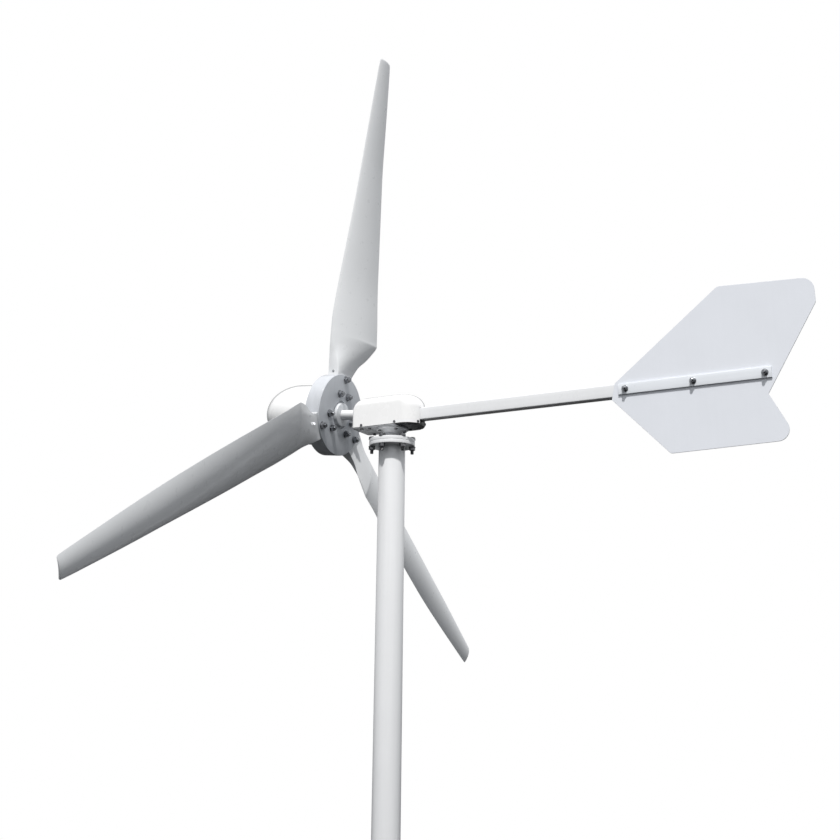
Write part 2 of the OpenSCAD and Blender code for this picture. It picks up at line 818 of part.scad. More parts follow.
// welded channel that holds the boom down on the tray
module boom_bracket() {
    floor_t = boom_z - boom_h / 2 - tray_top;
    cy = boom_w / 2 + run;
    len = bracket_back - bracket_front;
    color(dark_paint) difference() {
        union() {
            translate([bracket_front, -cy - bracket_t, tray_top])
                cube([len, 2 * (cy + bracket_t), boom_h + floor_t - 4]);
            translate([bracket_front, -50, tray_top]) cube([58, 100, 6]);
        }
        translate([bracket_front - 1, -cy, tray_top + floor_t]) cube([len + 2, 2 * cy, boom_h + 10]);
        for (x = bracket_x) translate([x, 40, boom_z]) rotate([90, 0, 0]) cylinder(r = m12_hole_r, h = 80);
        for (p = bracket_bolts) translate([p.x, p.y, tray_z]) cylinder(r = m8_hole_r, h = 30);
    }
}

// places of the cross bolts: distance from the yaw axis, head side, nut side and length past the nut side
boom_bolt_rows = concat(
    [for (x = bracket_x) [x, bracket_y, -bracket_y, m12_nut_h + 4]],
    [for (x = clamp_bolts_x) [x, boom_w / 2, -clamp_y, clamp_tail]]
);

module boom_bolts() {
    color(steel) for (row = boom_bolt_rows) translate([row[0], row[1], boom_z]) rotate([-90, 0, 0])
        hex_bolt(m12_r, m12_head_r, m12_head_h, row[1] - row[2] + row[3]);
}

module boom_nuts() {
    color(steel) for (row = boom_bolt_rows) translate([row[0], row[2], boom_z]) rotate([90, 0, 0])
        flange_nut(m12_r, m12_head_r, m12_nut_h, m12_flange_r, m12_flange_t);
}

// corners of the vane: distance from the yaw axis, height over the boom, corner radius
vane_corners = [
    [961, -36, 6], [975, 26, 6], [1395, 349, 25], [1747, 331, 45],
    [1747, 237, 20], [1548, -77, 6], [1636, -248, 43], [1176, -257, 18]
];

module vane() {
    outline = rounded([for (c = vane_corners) [c.x, c.y * vane_scale, c[2]]]);
    color(paint) translate([0, -boom_w / 2, boom_z]) difference() {
        rotate([90, 0, 0]) linear_extrude(vane_t) polygon(outline);
        for (x = clamp_bolts_x) translate([x, 1, 0]) rotate([90, 0, 0])
            cylinder(r = m12_hole_r, h = vane_t + 2);
    }
}

module vane_clamp() {
    y1 = -boom_w / 2 - vane_t;
    color(paint) difference() {
        translate([clamp_front, y1 - clamp_t, boom_z - clamp_h / 2])
            cube([clamp_back - clamp_front, clamp_t, clamp_h]);
        for (x = clamp_bolts_x) translate([x, y1 + 1, boom_z]) rotate([90, 0, 0])
            cylinder(r = m12_hole_r, h = clamp_t + 2);
    }
}

// ---------------------------------------------------------------- rotor

module main_shaft() {
    front_end = boss_front - 32;
    color(paint) rotor_frame() difference() {
        union() {
            translate([0, 0, front_end]) cylinder(r = 15, h = boss_front - front_end);
            translate([0, 0, boss_front]) cylinder(r = nose_shaft_r, h = boss_rear - boss_front);
            translate([0, 0, boss_rear]) cylinder(r = shaft_r, h = fb_a - boss_rear);
            translate([0, 0, fb_a]) cylinder(r = fb_ri, h = fb_w);
            translate([0, 0, fb_a + fb_w]) cylinder(r = core_shaft_r, h = rb_a - fb_a - fb_w);
            translate([0, 0, rb_a]) cylinder(r = rear_shaft_r, h = rb_w - 1);
        }
        translate([nose_shaft_r - 4, -key_w / 2, boss_front + 2]) cube([10, key_w, 30]);
    }
}

module shaft_inner_races() {
    color(bright_steel) rotor_frame() {
        translate([0, 0, fb_a]) inner_race(fb_ri, fb_ro, fb_w, shaft_ball);
        translate([0, 0, rb_a]) inner_race(rb_ri, rb_ro, rb_w, shaft_ball);
    }
}

module rotor_core() {
    color(steel) rotor_frame() ring(magnet_ri - fit, core_shaft_r + fit, stator_a, stator_b);
}

// arc magnets glued round the rotor core, with a gap between neighbours
module magnets() {
    gap = 3;
    color(magnet_grey) rotor_frame() difference() {
        ring(magnet_ro, magnet_ri, stator_a, stator_b);
        around(magnets_n, 0) translate([magnet_ri - 3, -gap / 2, stator_a - 1])
            cube([12, gap, stator_b - stator_a + 2]);
    }
}

module hub_boss() {
    color(grey_paint) rotor_frame() difference() {
        union() {
            translate([0, 0, boss_front]) cylinder(r = boss_flange_r, h = boss_flange_t);
            translate([0, 0, root_rear]) cylinder(r = boss_r, h = boss_rear - root_rear - 3);
            translate([0, 0, boss_rear - 3]) cylinder(r1 = boss_r, r2 = boss_r - 3, h = 3);
        }
        translate([0, 0, boss_front - 1]) cylinder(r = nose_shaft_r + fit, h = boss_rear - boss_front + 2);
        translate([0, -key_w / 2 - fit, boss_front - 1]) cube([nose_shaft_r + 4 + fit, key_w + 2 * fit, 34]);
        around(boss_screws_n, boss_screw_pcd / 2, 30)
            translate([0, 0, boss_front - 1]) cylinder(r = m8_hole_r, h = boss_flange_t + 2);
    }
}

module boss_screws() {
    color(dark_steel) rotor_frame() around(boss_screws_n, boss_screw_pcd / 2, 30)
        translate([0, 0, boss_front]) mirror([0, 0, 1]) pan_screw(m8_r, 6.5, 6, boss_flange_t + disc_t - 1);
}

module shaft_key() {
    color(steel) rotor_frame()
        translate([nose_shaft_r - 4 + fit, -key_w / 2 + fit, boss_front + 2 + fit])
            cube([key_h - 2 * fit, key_w - 2 * fit, 30 - 2 * fit]);
}

module hub_nut() {
    color(dark_steel) rotor_frame() translate([0, 0, boss_front - 26]) difference() {
        union() {
            cylinder(r = 26, h = 22, $fn = 6);
            translate([0, 0, 22]) cylinder(r = 28, h = 4);
        }
        translate([0, 0, -1]) cylinder(r = 15 + fit, h = 30);
    }
}

// places of the blade bolts in the rotor frame
module blade_bolt_places() {
    for (a = blade_angles, p = root_bolts) rotate(a) translate([p.x, p.y, 0]) children();
}

module hub_disc() {
    color(grey_paint) rotor_frame() difference() {
        ring(hub_r, disc_bore_r, root_rear, 0);
        blade_bolt_places() translate([0, 0, root_rear - 1]) cylinder(r = m16_hole_r, h = disc_t + 2);
        around(boss_screws_n, boss_screw_pcd / 2, 30)
            translate([0, 0, root_rear - 1]) cylinder(r = m8_r + fit, h = disc_t);
    }
}

// front plate and rim of the hub, open where the three blade roots pass
module hub_drum() {
    window = 0.5;
    color(grey_paint) rotor_frame() difference() {
        union() {
            ring(hub_r, 60, drum_front, root_front);
            ring(hub_r, hub_r - rim_wall, root_front - 1, root_rear);
            ring(nose_r - 2.7, nose_r - 6, drum_front - 12, drum_front + 1);
        }
        for (a = blade_angles) rotate(a) translate([100, te_root - window, root_front])
            cube([hub_r, le_root - te_root + 2 * window, root_t + 5]);
        blade_bolt_places() translate([0, 0, drum_front - 1]) cylinder(r = m16_hole_r, h = front_t + 2);
    }
}

// bolts through the front plate, the blade roots and the disc, and the small screws of the roots
module blade_bolts() {
    color(bright_steel) rotor_frame() blade_bolt_places() translate([0, 0, drum_front - fit])
        mirror([0, 0, 1]) hex_bolt(m16_r, m16_head_r, m16_head_h, blade_tail - drum_front);
    color(bright_steel) for (k = [0:2]) blade_frame(k)
        root_screw_place() pan_screw(m5_r, m5_head_r, m5_head_h, 10);
}

module blade_nuts() {
    color(bright_steel) rotor_frame() blade_bolt_places() translate([0, 0, fit])
        flange_nut(m16_r, m16_head_r, m16_nut_h, m16_flange_r, m16_flange_t);
}

// small screw in the leading face of a blade root, z pointing out of the blade
module root_screw_place() {
    translate([root_screw_r, le_root, root_rear - root_t / 2]) rotate([-90, 0, 0]) children();
}

// ---------------------------------------------------------------- blades

le_root = 55;
te_root = -57;
hold_r = 174;          // the root stays a plain block out to here
foil_r = 300;          // from here outwards the section is all aerofoil
form_r = 345;          // radius of the widest section
root_screw_r = 176;    // radius of the small screw in the root's leading face

// blade sections: radius, leading edge (across, downwind), trailing edge (across, downwind), thickness
sections = [
    [root_r, le_root, root_front + fit, te_root, root_rear - fit, 40],
    [168, le_root, root_front + fit, te_root, root_rear - fit, 40],
    [hold_r, le_root, root_front + fit, te_root, root_rear - fit, 40],
    [224, 60.5, -57.5, -77, 6, 40],
    [258, 64, -58.5, -105, 18, 40],
    [290, 68, -59.5, -126, 29, 39],
    [332, 71.3, -61.3, -148, 40, 37],
    [form_r, 72, -61.8, -148, 39, 36.5],
    [430, 75.5, -64, -140, 33.5, 33],
    [573, 74, -59.5, -129.4, 20, 27],
    [764, 71, -50, -116.7, 7, 22],
    [954, 66.4, -42.5, -102.5, -4.5, 18],
    [1145, 62, -37.5, -86, -14.5, 15],
    [1336, 58.4, -33.5, -68.8, -18, 12],
    [1527, 53, -30.5, -49.6, -20.5, 9],
    [tip_r - 8, 47.5, -28.3, -34.5, -22.8, 7],
    [tip_r, 44, -28, -31, -22.8, 6]
];
section_pts = 28;

// radii at which the blade surface is built
blade_stations = concat(
    [root_r, 168],
    [for (i = [0:9]) hold_r + (form_r - hold_r) * i / 9],
    [for (i = [1:14]) form_r + (tip_r - 8 - form_r) * i / 14],
    [tip_r - 3, tip_r]
);

function clamp01(u) = min(max(u, 0), 1);

// column c of the section table at radius r, by cubic curves through the rows
function row_slope(i, c) = i == 0 || i == len(sections) - 1 ? 0 :
    (sections[i + 1][c] - sections[i - 1][c]) / (sections[i + 1][0] - sections[i - 1][0]);
function row_of(r) = max([for (i = [0:len(sections) - 2]) if (sections[i][0] <= r + 0.001) i]);
function section_value(r, c) = let (
    i = row_of(r),
    h = sections[i + 1][0] - sections[i][0],
    u = (r - sections[i][0]) / h
) sections[i][c] * (2 * u^3 - 3 * u^2 + 1) + h * row_slope(i, c) * (u^3 - 2 * u^2 + u)
    + sections[i + 1][c] * (3 * u^2 - 2 * u^3) + h * row_slope(i + 1, c) * (u^3 - u^2);

// half thickness of the aerofoil at a fraction x of the chord, for unit full thickness
function half_thickness(x) = 5 * (0.2969 * sqrt(x) - 0.1260 * x - 0.3516 * x^2 + 0.2843 * x^3 - 0.1015 * x^4);
camber = 0.07;

// fraction of the chord at point j of a section, from the trailing edge round by the rear face
function chord_x(j) = (1 + cos(360 * j / section_pts)) / 2;
rear_corner = chord_x(11);
front_corner = chord_x(3);

// point j of the root block: a rectangle with the two edges as opposite corners
function block_point(le, te, j) = let (x = chord_x(j)) j <= section_pts / 2 ? [
    le.x + (te.x - le.x) * clamp01((x - rear_corner) / (1 - rear_corner)),
    le.y + (te.y - le.y) * clamp01(x / rear_corner)
] : [
    le.x + (te.x - le.x) * clamp01(x / front_corner),
    le.y + (te.y - le.y) * clamp01((x - front_corner) / (1 - front_corner))
];

// point j of the aerofoil between the two edges
function foil_point(le, te, thick, j) = let (
    x = chord_x(j),
    c = te - le,
    n = [c.y, -c.x] / norm(c),
    face = j <= section_pts / 2 ? 1 : -1
) le + c * x + n * (face * thick * half_thickness(x) + 4 * camber * norm(c) * x * (1 - x));

function blade_section(r) = let (
    le = [section_value(r, 1), section_value(r, 2)],
    te = [section_value(r, 3), section_value(r, 4)],
    thick = section_value(r, 5),
    foil = 1 - (1 - clamp01((r - hold_r) / (foil_r - hold_r)))^2
) [
    for (j = [0:section_pts - 1])
        let (p = (1 - foil) * block_point(le, te, j) + foil * foil_point(le, te, thick, j))
        [r, p.x, p.y]
];

function mean_point(pts) = [for (i = [0:2]) let (v = [for (p = pts) p[i]]) v * [for (p = pts) 1] / len(pts)];

// the bare blade as one closed surface through all its stations
module blade_skin() {
    n = section_pts;
    m = len(blade_stations);
    points = concat(
        [for (r = blade_stations) each blade_section(r)],
        [for (r = [root_r, tip_r]) mean_point(blade_section(r))]
    );
    sides = [
        for (i = [0:m - 2], j = [0:n - 1])
            let (a = i * n + j, b = i * n + (j + 1) % n)
            each [[a, a + n, b + n], [a, b + n, b]]
    ];
    ends = concat(
        [for (j = [0:n - 1]) [m * n, j, (j + 1) % n]],
        [for (j = [0:n - 1]) [m * n + 1, (m - 1) * n + (j + 1) % n, (m - 1) * n + j]]
    );
    polyhedron(points = points, faces = concat(sides, ends));
}

module blade(k) {
    color(paint) blade_frame(k) difference() {
        blade_skin();
        for (p = root_bolts) translate([p.x, p.y, root_front - 1]) cylinder(r = m16_hole_r, h = root_t + 2);
        root_screw_place() {
            translate([0, 0, -12]) cylinder(r = m5_r + fit, h = 20);
            cylinder(r = m5_head_r + 1, h = 5);
        }
    }
}

// ---------------------------------------------------------------- nose cone

// straight skirt and elliptical dome, turned about the rotor axis
nose_wall = 2.5;
module nose_profile(inset) {
    dome = 0.6 * nose_len;
    start = drum_front - nose_len + dome;
    r = nose_r - inset;
    len = dome - inset;
    polygon(concat(
        [[0, drum_front], [r, drum_front]],
        [for (i = [0:20]) [r * cos(90 * i / 20), start - len * sin(90 * i / 20)]]
    ));
}

module nose_cone() {
    color(paint) rotor_frame() difference() {
        rotate_extrude() nose_profile(0);
        rotate_extrude() nose_profile(nose_wall);
    }
}

mast_base_flange();
mast_tube();
mast_top_flange();
flange_bolts();
flange_nuts();
flange_washers();
yaw_housing();
yaw_outer_races();
yaw_balls();
yaw_outer_spacer();
yaw_circlip();
brush_holder();
brushes();
brush_springs();
mast_cable();
yaw_tube();
yaw_inner_races();
yaw_inner_spacer();
yaw_locknut();
yaw_seal();
slip_ring_drum();
slip_rings();
base_tray();
tray_bolts();
tray_nuts();
nacelle_cover();
cover_screws();
generator_housing();
front_shield();
rear_shield();
tie_rods();
stator_core();
stator_windings();
shaft_outer_races();
shaft_balls();
shaft_seal();
generator_cradle();
phase_cable();
boom();
boom_bracket();
boom_bolts();
boom_nuts();
vane();
vane_clamp();
main_shaft();
shaft_inner_races();
rotor_core();
magnets();
hub_boss();
boss_screws();
shaft_key();
hub_nut();
hub_disc();
hub_drum();
blade(0);  // blade_1
blade(1);  // blade_2
blade(2);  // blade_3
blade_bolts();
blade_nuts();
nose_cone();
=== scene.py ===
"""Visual model of a small wind turbine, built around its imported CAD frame. Metres, in the CAD's axes."""

from collections import namedtuple
import json
import math

import bmesh
import bpy
import numpy as np
from mathutils import Matrix, Vector


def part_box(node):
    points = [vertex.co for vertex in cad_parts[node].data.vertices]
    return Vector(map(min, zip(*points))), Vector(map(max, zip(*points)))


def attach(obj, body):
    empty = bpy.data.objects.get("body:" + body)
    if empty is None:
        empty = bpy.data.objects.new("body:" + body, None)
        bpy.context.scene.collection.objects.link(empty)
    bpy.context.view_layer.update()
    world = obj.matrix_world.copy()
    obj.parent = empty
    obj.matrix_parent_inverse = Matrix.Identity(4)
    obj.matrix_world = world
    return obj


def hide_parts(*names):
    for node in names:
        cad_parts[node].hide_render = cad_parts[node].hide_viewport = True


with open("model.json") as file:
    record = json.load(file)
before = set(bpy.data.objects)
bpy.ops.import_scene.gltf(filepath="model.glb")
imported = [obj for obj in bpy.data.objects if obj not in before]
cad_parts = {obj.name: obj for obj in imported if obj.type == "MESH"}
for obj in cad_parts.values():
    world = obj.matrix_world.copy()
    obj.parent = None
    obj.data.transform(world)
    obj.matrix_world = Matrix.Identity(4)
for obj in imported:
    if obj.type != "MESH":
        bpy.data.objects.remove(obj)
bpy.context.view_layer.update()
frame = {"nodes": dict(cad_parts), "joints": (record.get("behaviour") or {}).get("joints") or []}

MM = 0.001
TAU = 2 * math.pi


# ---------------------------------------------------------------- places taken from the frame

def joint(name):
    """The record's joint of that name."""
    return next(j for j in frame["joints"] if j["name"] == name)


def axes(x, y, z, origin):
    """Matrix whose columns are three directions and a place."""
    matrix = Matrix((x, y, z)).transposed().to_4x4()
    matrix.translation = origin
    return matrix


spin_axis = Vector(joint("rotor_spin")["axis"]).normalized()
rotor_up = Vector((-spin_axis.z, 0, spin_axis.x))
# rotor frame: x up in the rotor's plane, y across it, z downwind along the shaft
ROTOR = axes(rotor_up, spin_axis.cross(rotor_up), spin_axis, Vector(joint("rotor_spin")["pos_m"]))


def solids(node):
    """The node's separate solids, each as an array of its welded corners."""
    bm = bmesh.new()
    bm.from_mesh(frame["nodes"][node].data)
    bmesh.ops.remove_doubles(bm, verts=bm.verts, dist=1e-6)
    found = []
    left = set(bm.verts)
    while left:
        stack = [left.pop()]
        part = []
        while stack:
            v = stack.pop()
            part.append(v.co.copy())
            for e in v.link_edges:
                other = e.other_vert(v)
                if other in left:
                    left.discard(other)
                    stack.append(other)
        found.append(np.array(part))
    bm.free()
    return found


def local(points, matrix):
    """Points expressed in the directions of a matrix."""
    inverse = np.array(matrix.inverted())
    return points @ inverse[:3, :3].T + inverse[:3, 3]


# ---------------------------------------------------------------- mesh tools

def finish_piece(obj, look, body, stands_for=(), sharp=35):
    """Shades, colours and files a finished piece."""
    mesh = obj.data
    mesh.materials.clear()
    mesh.materials.append(MATERIALS[look])
    mesh.polygons.foreach_set("use_smooth", [True] * len(mesh.polygons))
    mesh.set_sharp_from_angle(angle=math.radians(sharp))
    mesh.update()
    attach(obj, body)
    if stands_for:
        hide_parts(*stands_for)


def object_of(name, bm):
    """A scene object holding the bmesh, with its faces turned outwards."""
    bmesh.ops.recalc_face_normals(bm, faces=bm.faces)
    mesh = bpy.data.meshes.new(name)
    bm.to_mesh(mesh)
    bm.free()
    obj = bpy.data.objects.new(name, mesh)
    bpy.context.scene.collection.objects.link(obj)
    return obj


def join_rows(bm, low, high):
    """Faces between two rows of corners, each closed on itself."""
    n = len(low)
    for j in range(n):
        k = (j + 1) % n
        bm.faces.new((low[j], low[k], high[k], high[j]))


def add_grid(bm, rows, cap_low=False, cap_high=False):
    """Skins rows of points, which all have the same length."""
    made = [[bm.verts.new(p) for p in row] for row in rows]
    for low, high in zip(made, made[1:]):
        join_rows(bm, low, high)
    if cap_low:
        bm.faces.new(made[0][::-1])
    if cap_high:
        bm.faces.new(made[-1])
    return made


def add_solid(bm, rows):
    """Skins rows of points and closes both ends."""
    add_grid(bm, rows, cap_low=True, cap_high=True)


def add_ring(bm, rows):
    """Skins rows of points and joins the last row to the first."""
    made = add_grid(bm, rows)
    join_rows(bm, made[-1], made[0])
    return made


def fillet(corners, steps):
    """A closed outline through corners (x, y, radius), each rounded by an arc."""
    out = []
    n = len(corners)
    for i, (x, y, radius) in enumerate(corners):
        p = Vector((x, y))
        if radius <= 0:
            out.append(p)
            continue
        u = (Vector(corners[i - 1][:2]) - p).normalized()
        v = (Vector(corners[(i + 1) % n][:2]) - p).normalized()
        half = u.angle(v) / 2
        centre = p + (u + v).normalized() * radius / math.sin(half)
        first = p + u * radius / math.tan(half) - centre
        sweep = (math.pi - 2 * half) * (1 if u.x * v.y - u.y * v.x < 0 else -1)
        for j in range(steps + 1):
            a = sweep * j / steps
            out.append(centre + Vector((
                first.x * math.cos(a) - first.y * math.sin(a),
                first.x * math.sin(a) + first.y * math.cos(a),
            )))
    return out


FASTENER_SEGMENTS = 36


def rows_at(place, profile, segments=FASTENER_SEGMENTS):
    """Rows of points round the z axis of a place, one for each (radius, height) of the profile.

    Either may be a function of the angle.
    """
    rows = []
    for radius, height in profile:
        row = []
        for i in range(segments):
            a = TAU * i / segments
            r = radius(a) if callable(radius) else radius
            z = height(a) if callable(height) else height
            row.append(place @ Vector((r * math.cos(a), r * math.sin(a), z)))
        rows.append(row)
    return rows


def lathe(bm, outline, matrix, segments):
    """Turns a closed outline of (radius, height) points about the matrix's z axis."""
    made = add_ring(bm, rows_at(matrix, outline, segments))
    bmesh.ops.remove_doubles(bm, verts=[v for row in made for v in row], dist=1e-8)


def peg(bm, place, radius, low, high):
    """Plain round bar, used to cut holes."""
    add_solid(bm, rows_at(place, ((radius, low), (radius, high)), segments=40))


def block(bm, place, low, high):
    """Box between two corners of a place, used to cut windows."""
    rows = []
    for z in (low[2], high[2]):
        corners = ((low[0], low[1]), (high[0], low[1]), (high[0], high[1]), (low[0], high[1]))
        rows.append([place @ Vector((x, y, z)) for x, y in corners])
    add_solid(bm, rows)


def carve(obj, cutter):
    """Takes the closed shapes of a cutter out of an object."""
    tool = object_of("cutter", cutter)
    modifier = obj.modifiers.new("cut", "BOOLEAN")
    modifier.operation = "DIFFERENCE"
    modifier.solver = "EXACT"
    modifier.object = tool
    seen = obj.evaluated_get(bpy.context.evaluated_depsgraph_get())
    mesh = bpy.data.meshes.new_from_object(seen)
    obj.modifiers.clear()
    obj.data = mesh
    bpy.data.objects.remove(tool)


# ---------------------------------------------------------------- materials

class Nodes:
    """Short way to add nodes to a tree."""

    def __init__(self, tree):
        self.tree = tree

    def put(self, socket, value):
        """Links a socket to another, or gives it a value; a colour may leave out its alpha."""
        if isinstance(value, bpy.types.NodeSocket):
            self.tree.links.new(value, socket)
        elif isinstance(value, (tuple, list)) and len(value) == 3 and socket.type == "RGBA":
            socket.default_value = (*value, 1)
        else:
            socket.default_value = value

    def add(self, kind, out=0, settings=(), **inputs):
        """Adds a node; an input is given by its name, or as i and its number."""
        node = self.tree.nodes.new("ShaderNode" + kind)
        for key, value in settings:
            setattr(node, key, value)
        for key, value in inputs.items():
            which = int(key[1:]) if key[1:].isdigit() else key.replace("_", " ")
            self.put(node.inputs[which], value)
        return node.outputs[out]


class Shader(Nodes):
    """One material's node tree."""

    def __init__(self, name):
        self.material = bpy.data.materials.new(name)
        self.material.use_nodes = True
        super().__init__(self.material.node_tree)
        self.surface = self.tree.nodes["Principled BSDF"]
        self.place = self.tree.nodes.new("ShaderNodeTexCoord").outputs["Object"]

    def noise(self, scale, detail=3.0, stretch=(1, 1, 1), shift=0.0, roughness=0.55):
        at = self.add("Mapping", Vector=self.place, Scale=stretch, Location=(shift, shift, shift))
        return self.add("TexNoise", Vector=at, Scale=scale, Detail=detail, Roughness=roughness)

    def span(self, value, low, high, to_low, to_high):
        return self.add("MapRange", i0=value, i1=low, i2=high, i3=to_low, i4=to_high)

    def math(self, operation, a, b=0.0):
        return self.add("Math", settings=(("operation", operation),), i0=a, i1=b)

    def dot(self, a, b):
        return self.add("VectorMath", out=1, settings=(("operation", "DOT_PRODUCT"),), i0=a, i1=b)

    def mix(self, factor, a, b, blend="MIX"):
        node = self.tree.nodes.new("ShaderNodeMix")
        node.data_type = "RGBA"
        node.blend_type = blend
        self.put(node.inputs[0], factor)
        self.put(node.inputs[6], a)
        self.put(node.inputs[7], b)
        return node.outputs[2]

    def grey(self, value):
        return self.add("CombineColor", i0=value, i1=value, i2=value)

    def shaded(self, colour, brightness):
        """The colour times a brightness."""
        return self.mix(1.0, colour, self.grey(brightness), "MULTIPLY")

    def edges(self, radius, strength=1.0):
        """1 along sharp edges, 0 on flat faces."""
        soft = self.add("Bevel", settings=(("samples", 4),), Radius=radius)
        flat = self.add("NewGeometry", out=1)
        return self.math("MULTIPLY", self.span(self.dot(soft, flat), 1.0, 0.86, 0.0, 1.0), strength)

    def corners(self, distance):
        """1 in open places, lower where faces meet or a crevice closes."""
        return self.add("AmbientOcclusion", out=1, settings=(("samples", 4),), Distance=distance)

    def painted_rim_shade(self, colour, amount, start=0.74):
        """The colour with painted shade where the surface turns away from the eye by more than the start: a
        dark rim along outlines.
        """
        facing = self.add("LayerWeight", out=1, Blend=0.5)
        return self.shaded(colour, self.span(facing, start, start + 0.23, 1.0, 1.0 - amount))

    def bump(self, height, distance, strength, under=None):
        inputs = dict(Height=height, Distance=distance, Strength=strength)
        if under is not None:
            inputs["Normal"] = under
        return self.add("Bump", **inputs)

    def done(self, **inputs):
        for key, value in inputs.items():
            self.put(self.surface.inputs[key.replace("_", " ")], value)
        return self.material


def paint(
    name, colour, rough, coat, edge, peel=0.00006, streaks=0.03, crevice_shade_and_dirt=0.1, rim=0.4, rim_shade_start=0.74,
    second=None, second_from=0.0,
):
    """Sprayed paint: slight patchiness, faint run-off streaks, orange peel, worn edges, painted shade mixed
    with patchy dirt in crevices, and a painted dark rim where the surface turns away from the eye.

    The second colour covers the part that lies further than second_from along x.
    """
    s = Shader(name)
    if second is not None:
        along = s.add("SeparateXYZ", Vector=s.place)
        border = s.math("ADD", along, s.span(s.noise(30, 3, shift=6), 0.3, 0.7, -0.002, 0.002))
        colour = s.mix(s.span(border, second_from - 0.001, second_from + 0.001, 0.0, 1.0), colour, second)
    patch = s.span(s.noise(7, 4), 0.3, 0.7, 0.988, 1.012)
    streak = s.span(s.noise(1, 5, stretch=(60, 60, 2.5), shift=3), 0.35, 0.75, 1.0, 1 - streaks)
    body = s.shaded(colour, s.math("MULTIPLY", patch, streak))
    # painted shade: darker where faces meet and crevices close, from ambient occlusion, broken up by noise
    # into patchy dirt
    shade_and_dirt = s.span(s.corners(0.012), 0.35, 0.95, crevice_shade_and_dirt, 0.0)
    shade_and_dirt = s.math("MULTIPLY", shade_and_dirt, s.span(s.noise(90, 4, shift=9), 0.3, 0.7, 0.4, 1.0))
    body = s.mix(shade_and_dirt, body, (0.10, 0.09, 0.08))
    roughness = s.span(s.noise(22, 5, shift=5), 0.3, 0.7, rough - 0.05, rough + 0.07)
    worn = s.math("MULTIPLY", s.edges(0.0012), s.span(s.noise(160, 3, shift=1), 0.42, 0.6, 0.0, 1.0))
    # painted shade: a dark rim where the surface turns away from the eye; rim sets how dark it gets
    body = s.painted_rim_shade(s.mix(worn, body, edge), rim, rim_shade_start)
    fine = s.bump(s.noise(420, 2, shift=7), peel, 0.6)
    return s.done(Base_Color=body, Roughness=roughness, Coat_Weight=coat, Coat_Roughness=0.12, Normal=fine)


def gelcoat(name, colour):
    """Moulded glass-fibre skin: smooth, glossy, with faint waviness, dust and a painted dark rim along its
    outlines.
    """
    s = Shader(name)
    tone = s.span(s.noise(5, 4, stretch=(1, 1, 0.4)), 0.3, 0.7, 0.985, 1.01)
    dust = s.span(s.noise(9, 3, stretch=(1, 1, 0.5), shift=4), 0.4, 0.8, 0.0, 0.03)
    body = s.shaded(colour, tone)
    body = s.mix(dust, body, (0.42, 0.40, 0.37))
    # painted shade: a faint dark rim where the skin turns away from the eye
    body = s.painted_rim_shade(body, 0.25)
    roughness = s.span(s.noise(30, 4, shift=2), 0.3, 0.7, 0.26, 0.38)
    wave = s.bump(s.noise(16, 2, shift=8), 0.0006, 0.25)
    fine = s.bump(s.noise(500, 2, shift=6), 0.00003, 0.5, under=wave)
    return s.done(Base_Color=body, Roughness=roughness, Coat_Weight=0.35, Coat_Roughness=0.1, Normal=fine)


def plated(name, colour, rough, tarnish=(0.30, 0.29, 0.27), amount=0.35):
    """Bare or plated metal with fine turning marks, tarnish and brighter edges."""
    s = Shader(name)
    spots = s.span(s.noise(140, 5), 0.45, 0.72, 0.0, amount)
    body = s.mix(spots, colour, tarnish)
    body = s.mix(s.edges(0.0008, 0.6), body, tuple(min(1, c * 1.35) for c in colour))
    roughness = s.span(s.noise(200, 4, shift=3), 0.3, 0.7, rough - 0.08, rough + 0.14)
    fine = s.bump(s.noise(900, 3, shift=2), 0.00003, 0.5)
    return s.done(Base_Color=body, Metallic=1.0, Roughness=roughness, Normal=fine)


def moulded(name, colour, rough):
    """Rubber or moulded plastic with a matt grain."""
    s = Shader(name)
    tone = s.span(s.noise(40, 4), 0.3, 0.7, 0.8, 1.25)
    body = s.shaded(colour, tone)
    body = s.mix(s.edges(0.001, 0.3), body, tuple(c * 2.2 for c in colour))
    roughness = s.span(s.noise(90, 3, shift=5), 0.3, 0.7, rough - 0.08, rough + 0.1)
    return s.done(Base_Color=body, Roughness=roughness, Normal=s.bump(s.noise(700, 2), 0.00005, 0.7))


def cast(name, colour):
    """Sand-cast aluminium: coarse skin, matt, brighter on its edges."""
    s = Shader(name)
    skin = s.noise(260, 5, roughness=0.7)
    body = s.mix(s.span(skin, 0.3, 0.7, 0.0, 0.35), colour, tuple(c * 0.7 for c in colour))
    body = s.mix(s.edges(0.001, 0.5), body, (0.9, 0.9, 0.9))
    roughness = s.span(skin, 0.3, 0.7, 0.42, 0.6)
    return s.done(Base_Color=body, Metallic=0.9, Roughness=roughness, Normal=s.bump(skin, 0.00015, 0.6))


def laminated(name, colour):
    """Stack of thin steel sheets: fine lines across the shaft."""
    s = Shader(name)
    sheet = 1.0 * MM
    line = s.math("SINE", s.math("MULTIPLY", s.dot(s.place, tuple(spin_axis)), TAU / sheet))
    body = s.mix(s.span(line, -1, 1, 0, 0.5), colour, tuple(c * 0.45 for c in colour))
    return s.done(Base_Color=body, Metallic=1.0, Roughness=0.45, Normal=s.bump(line, 0.0001, 0.5))


def wound(name, colour):
    """Lacquered copper wire lying along the slots."""
    s = Shader(name)
    strand = s.noise(1, 3, stretch=(300, 1400, 1400))
    body = s.mix(s.span(strand, 0.35, 0.65, 0, 0.6), colour, tuple(c * 0.35 for c in colour))
    return s.done(Base_Color=body, Metallic=0.85, Roughness=0.35, Normal=s.bump(strand, 0.0002, 0.7))


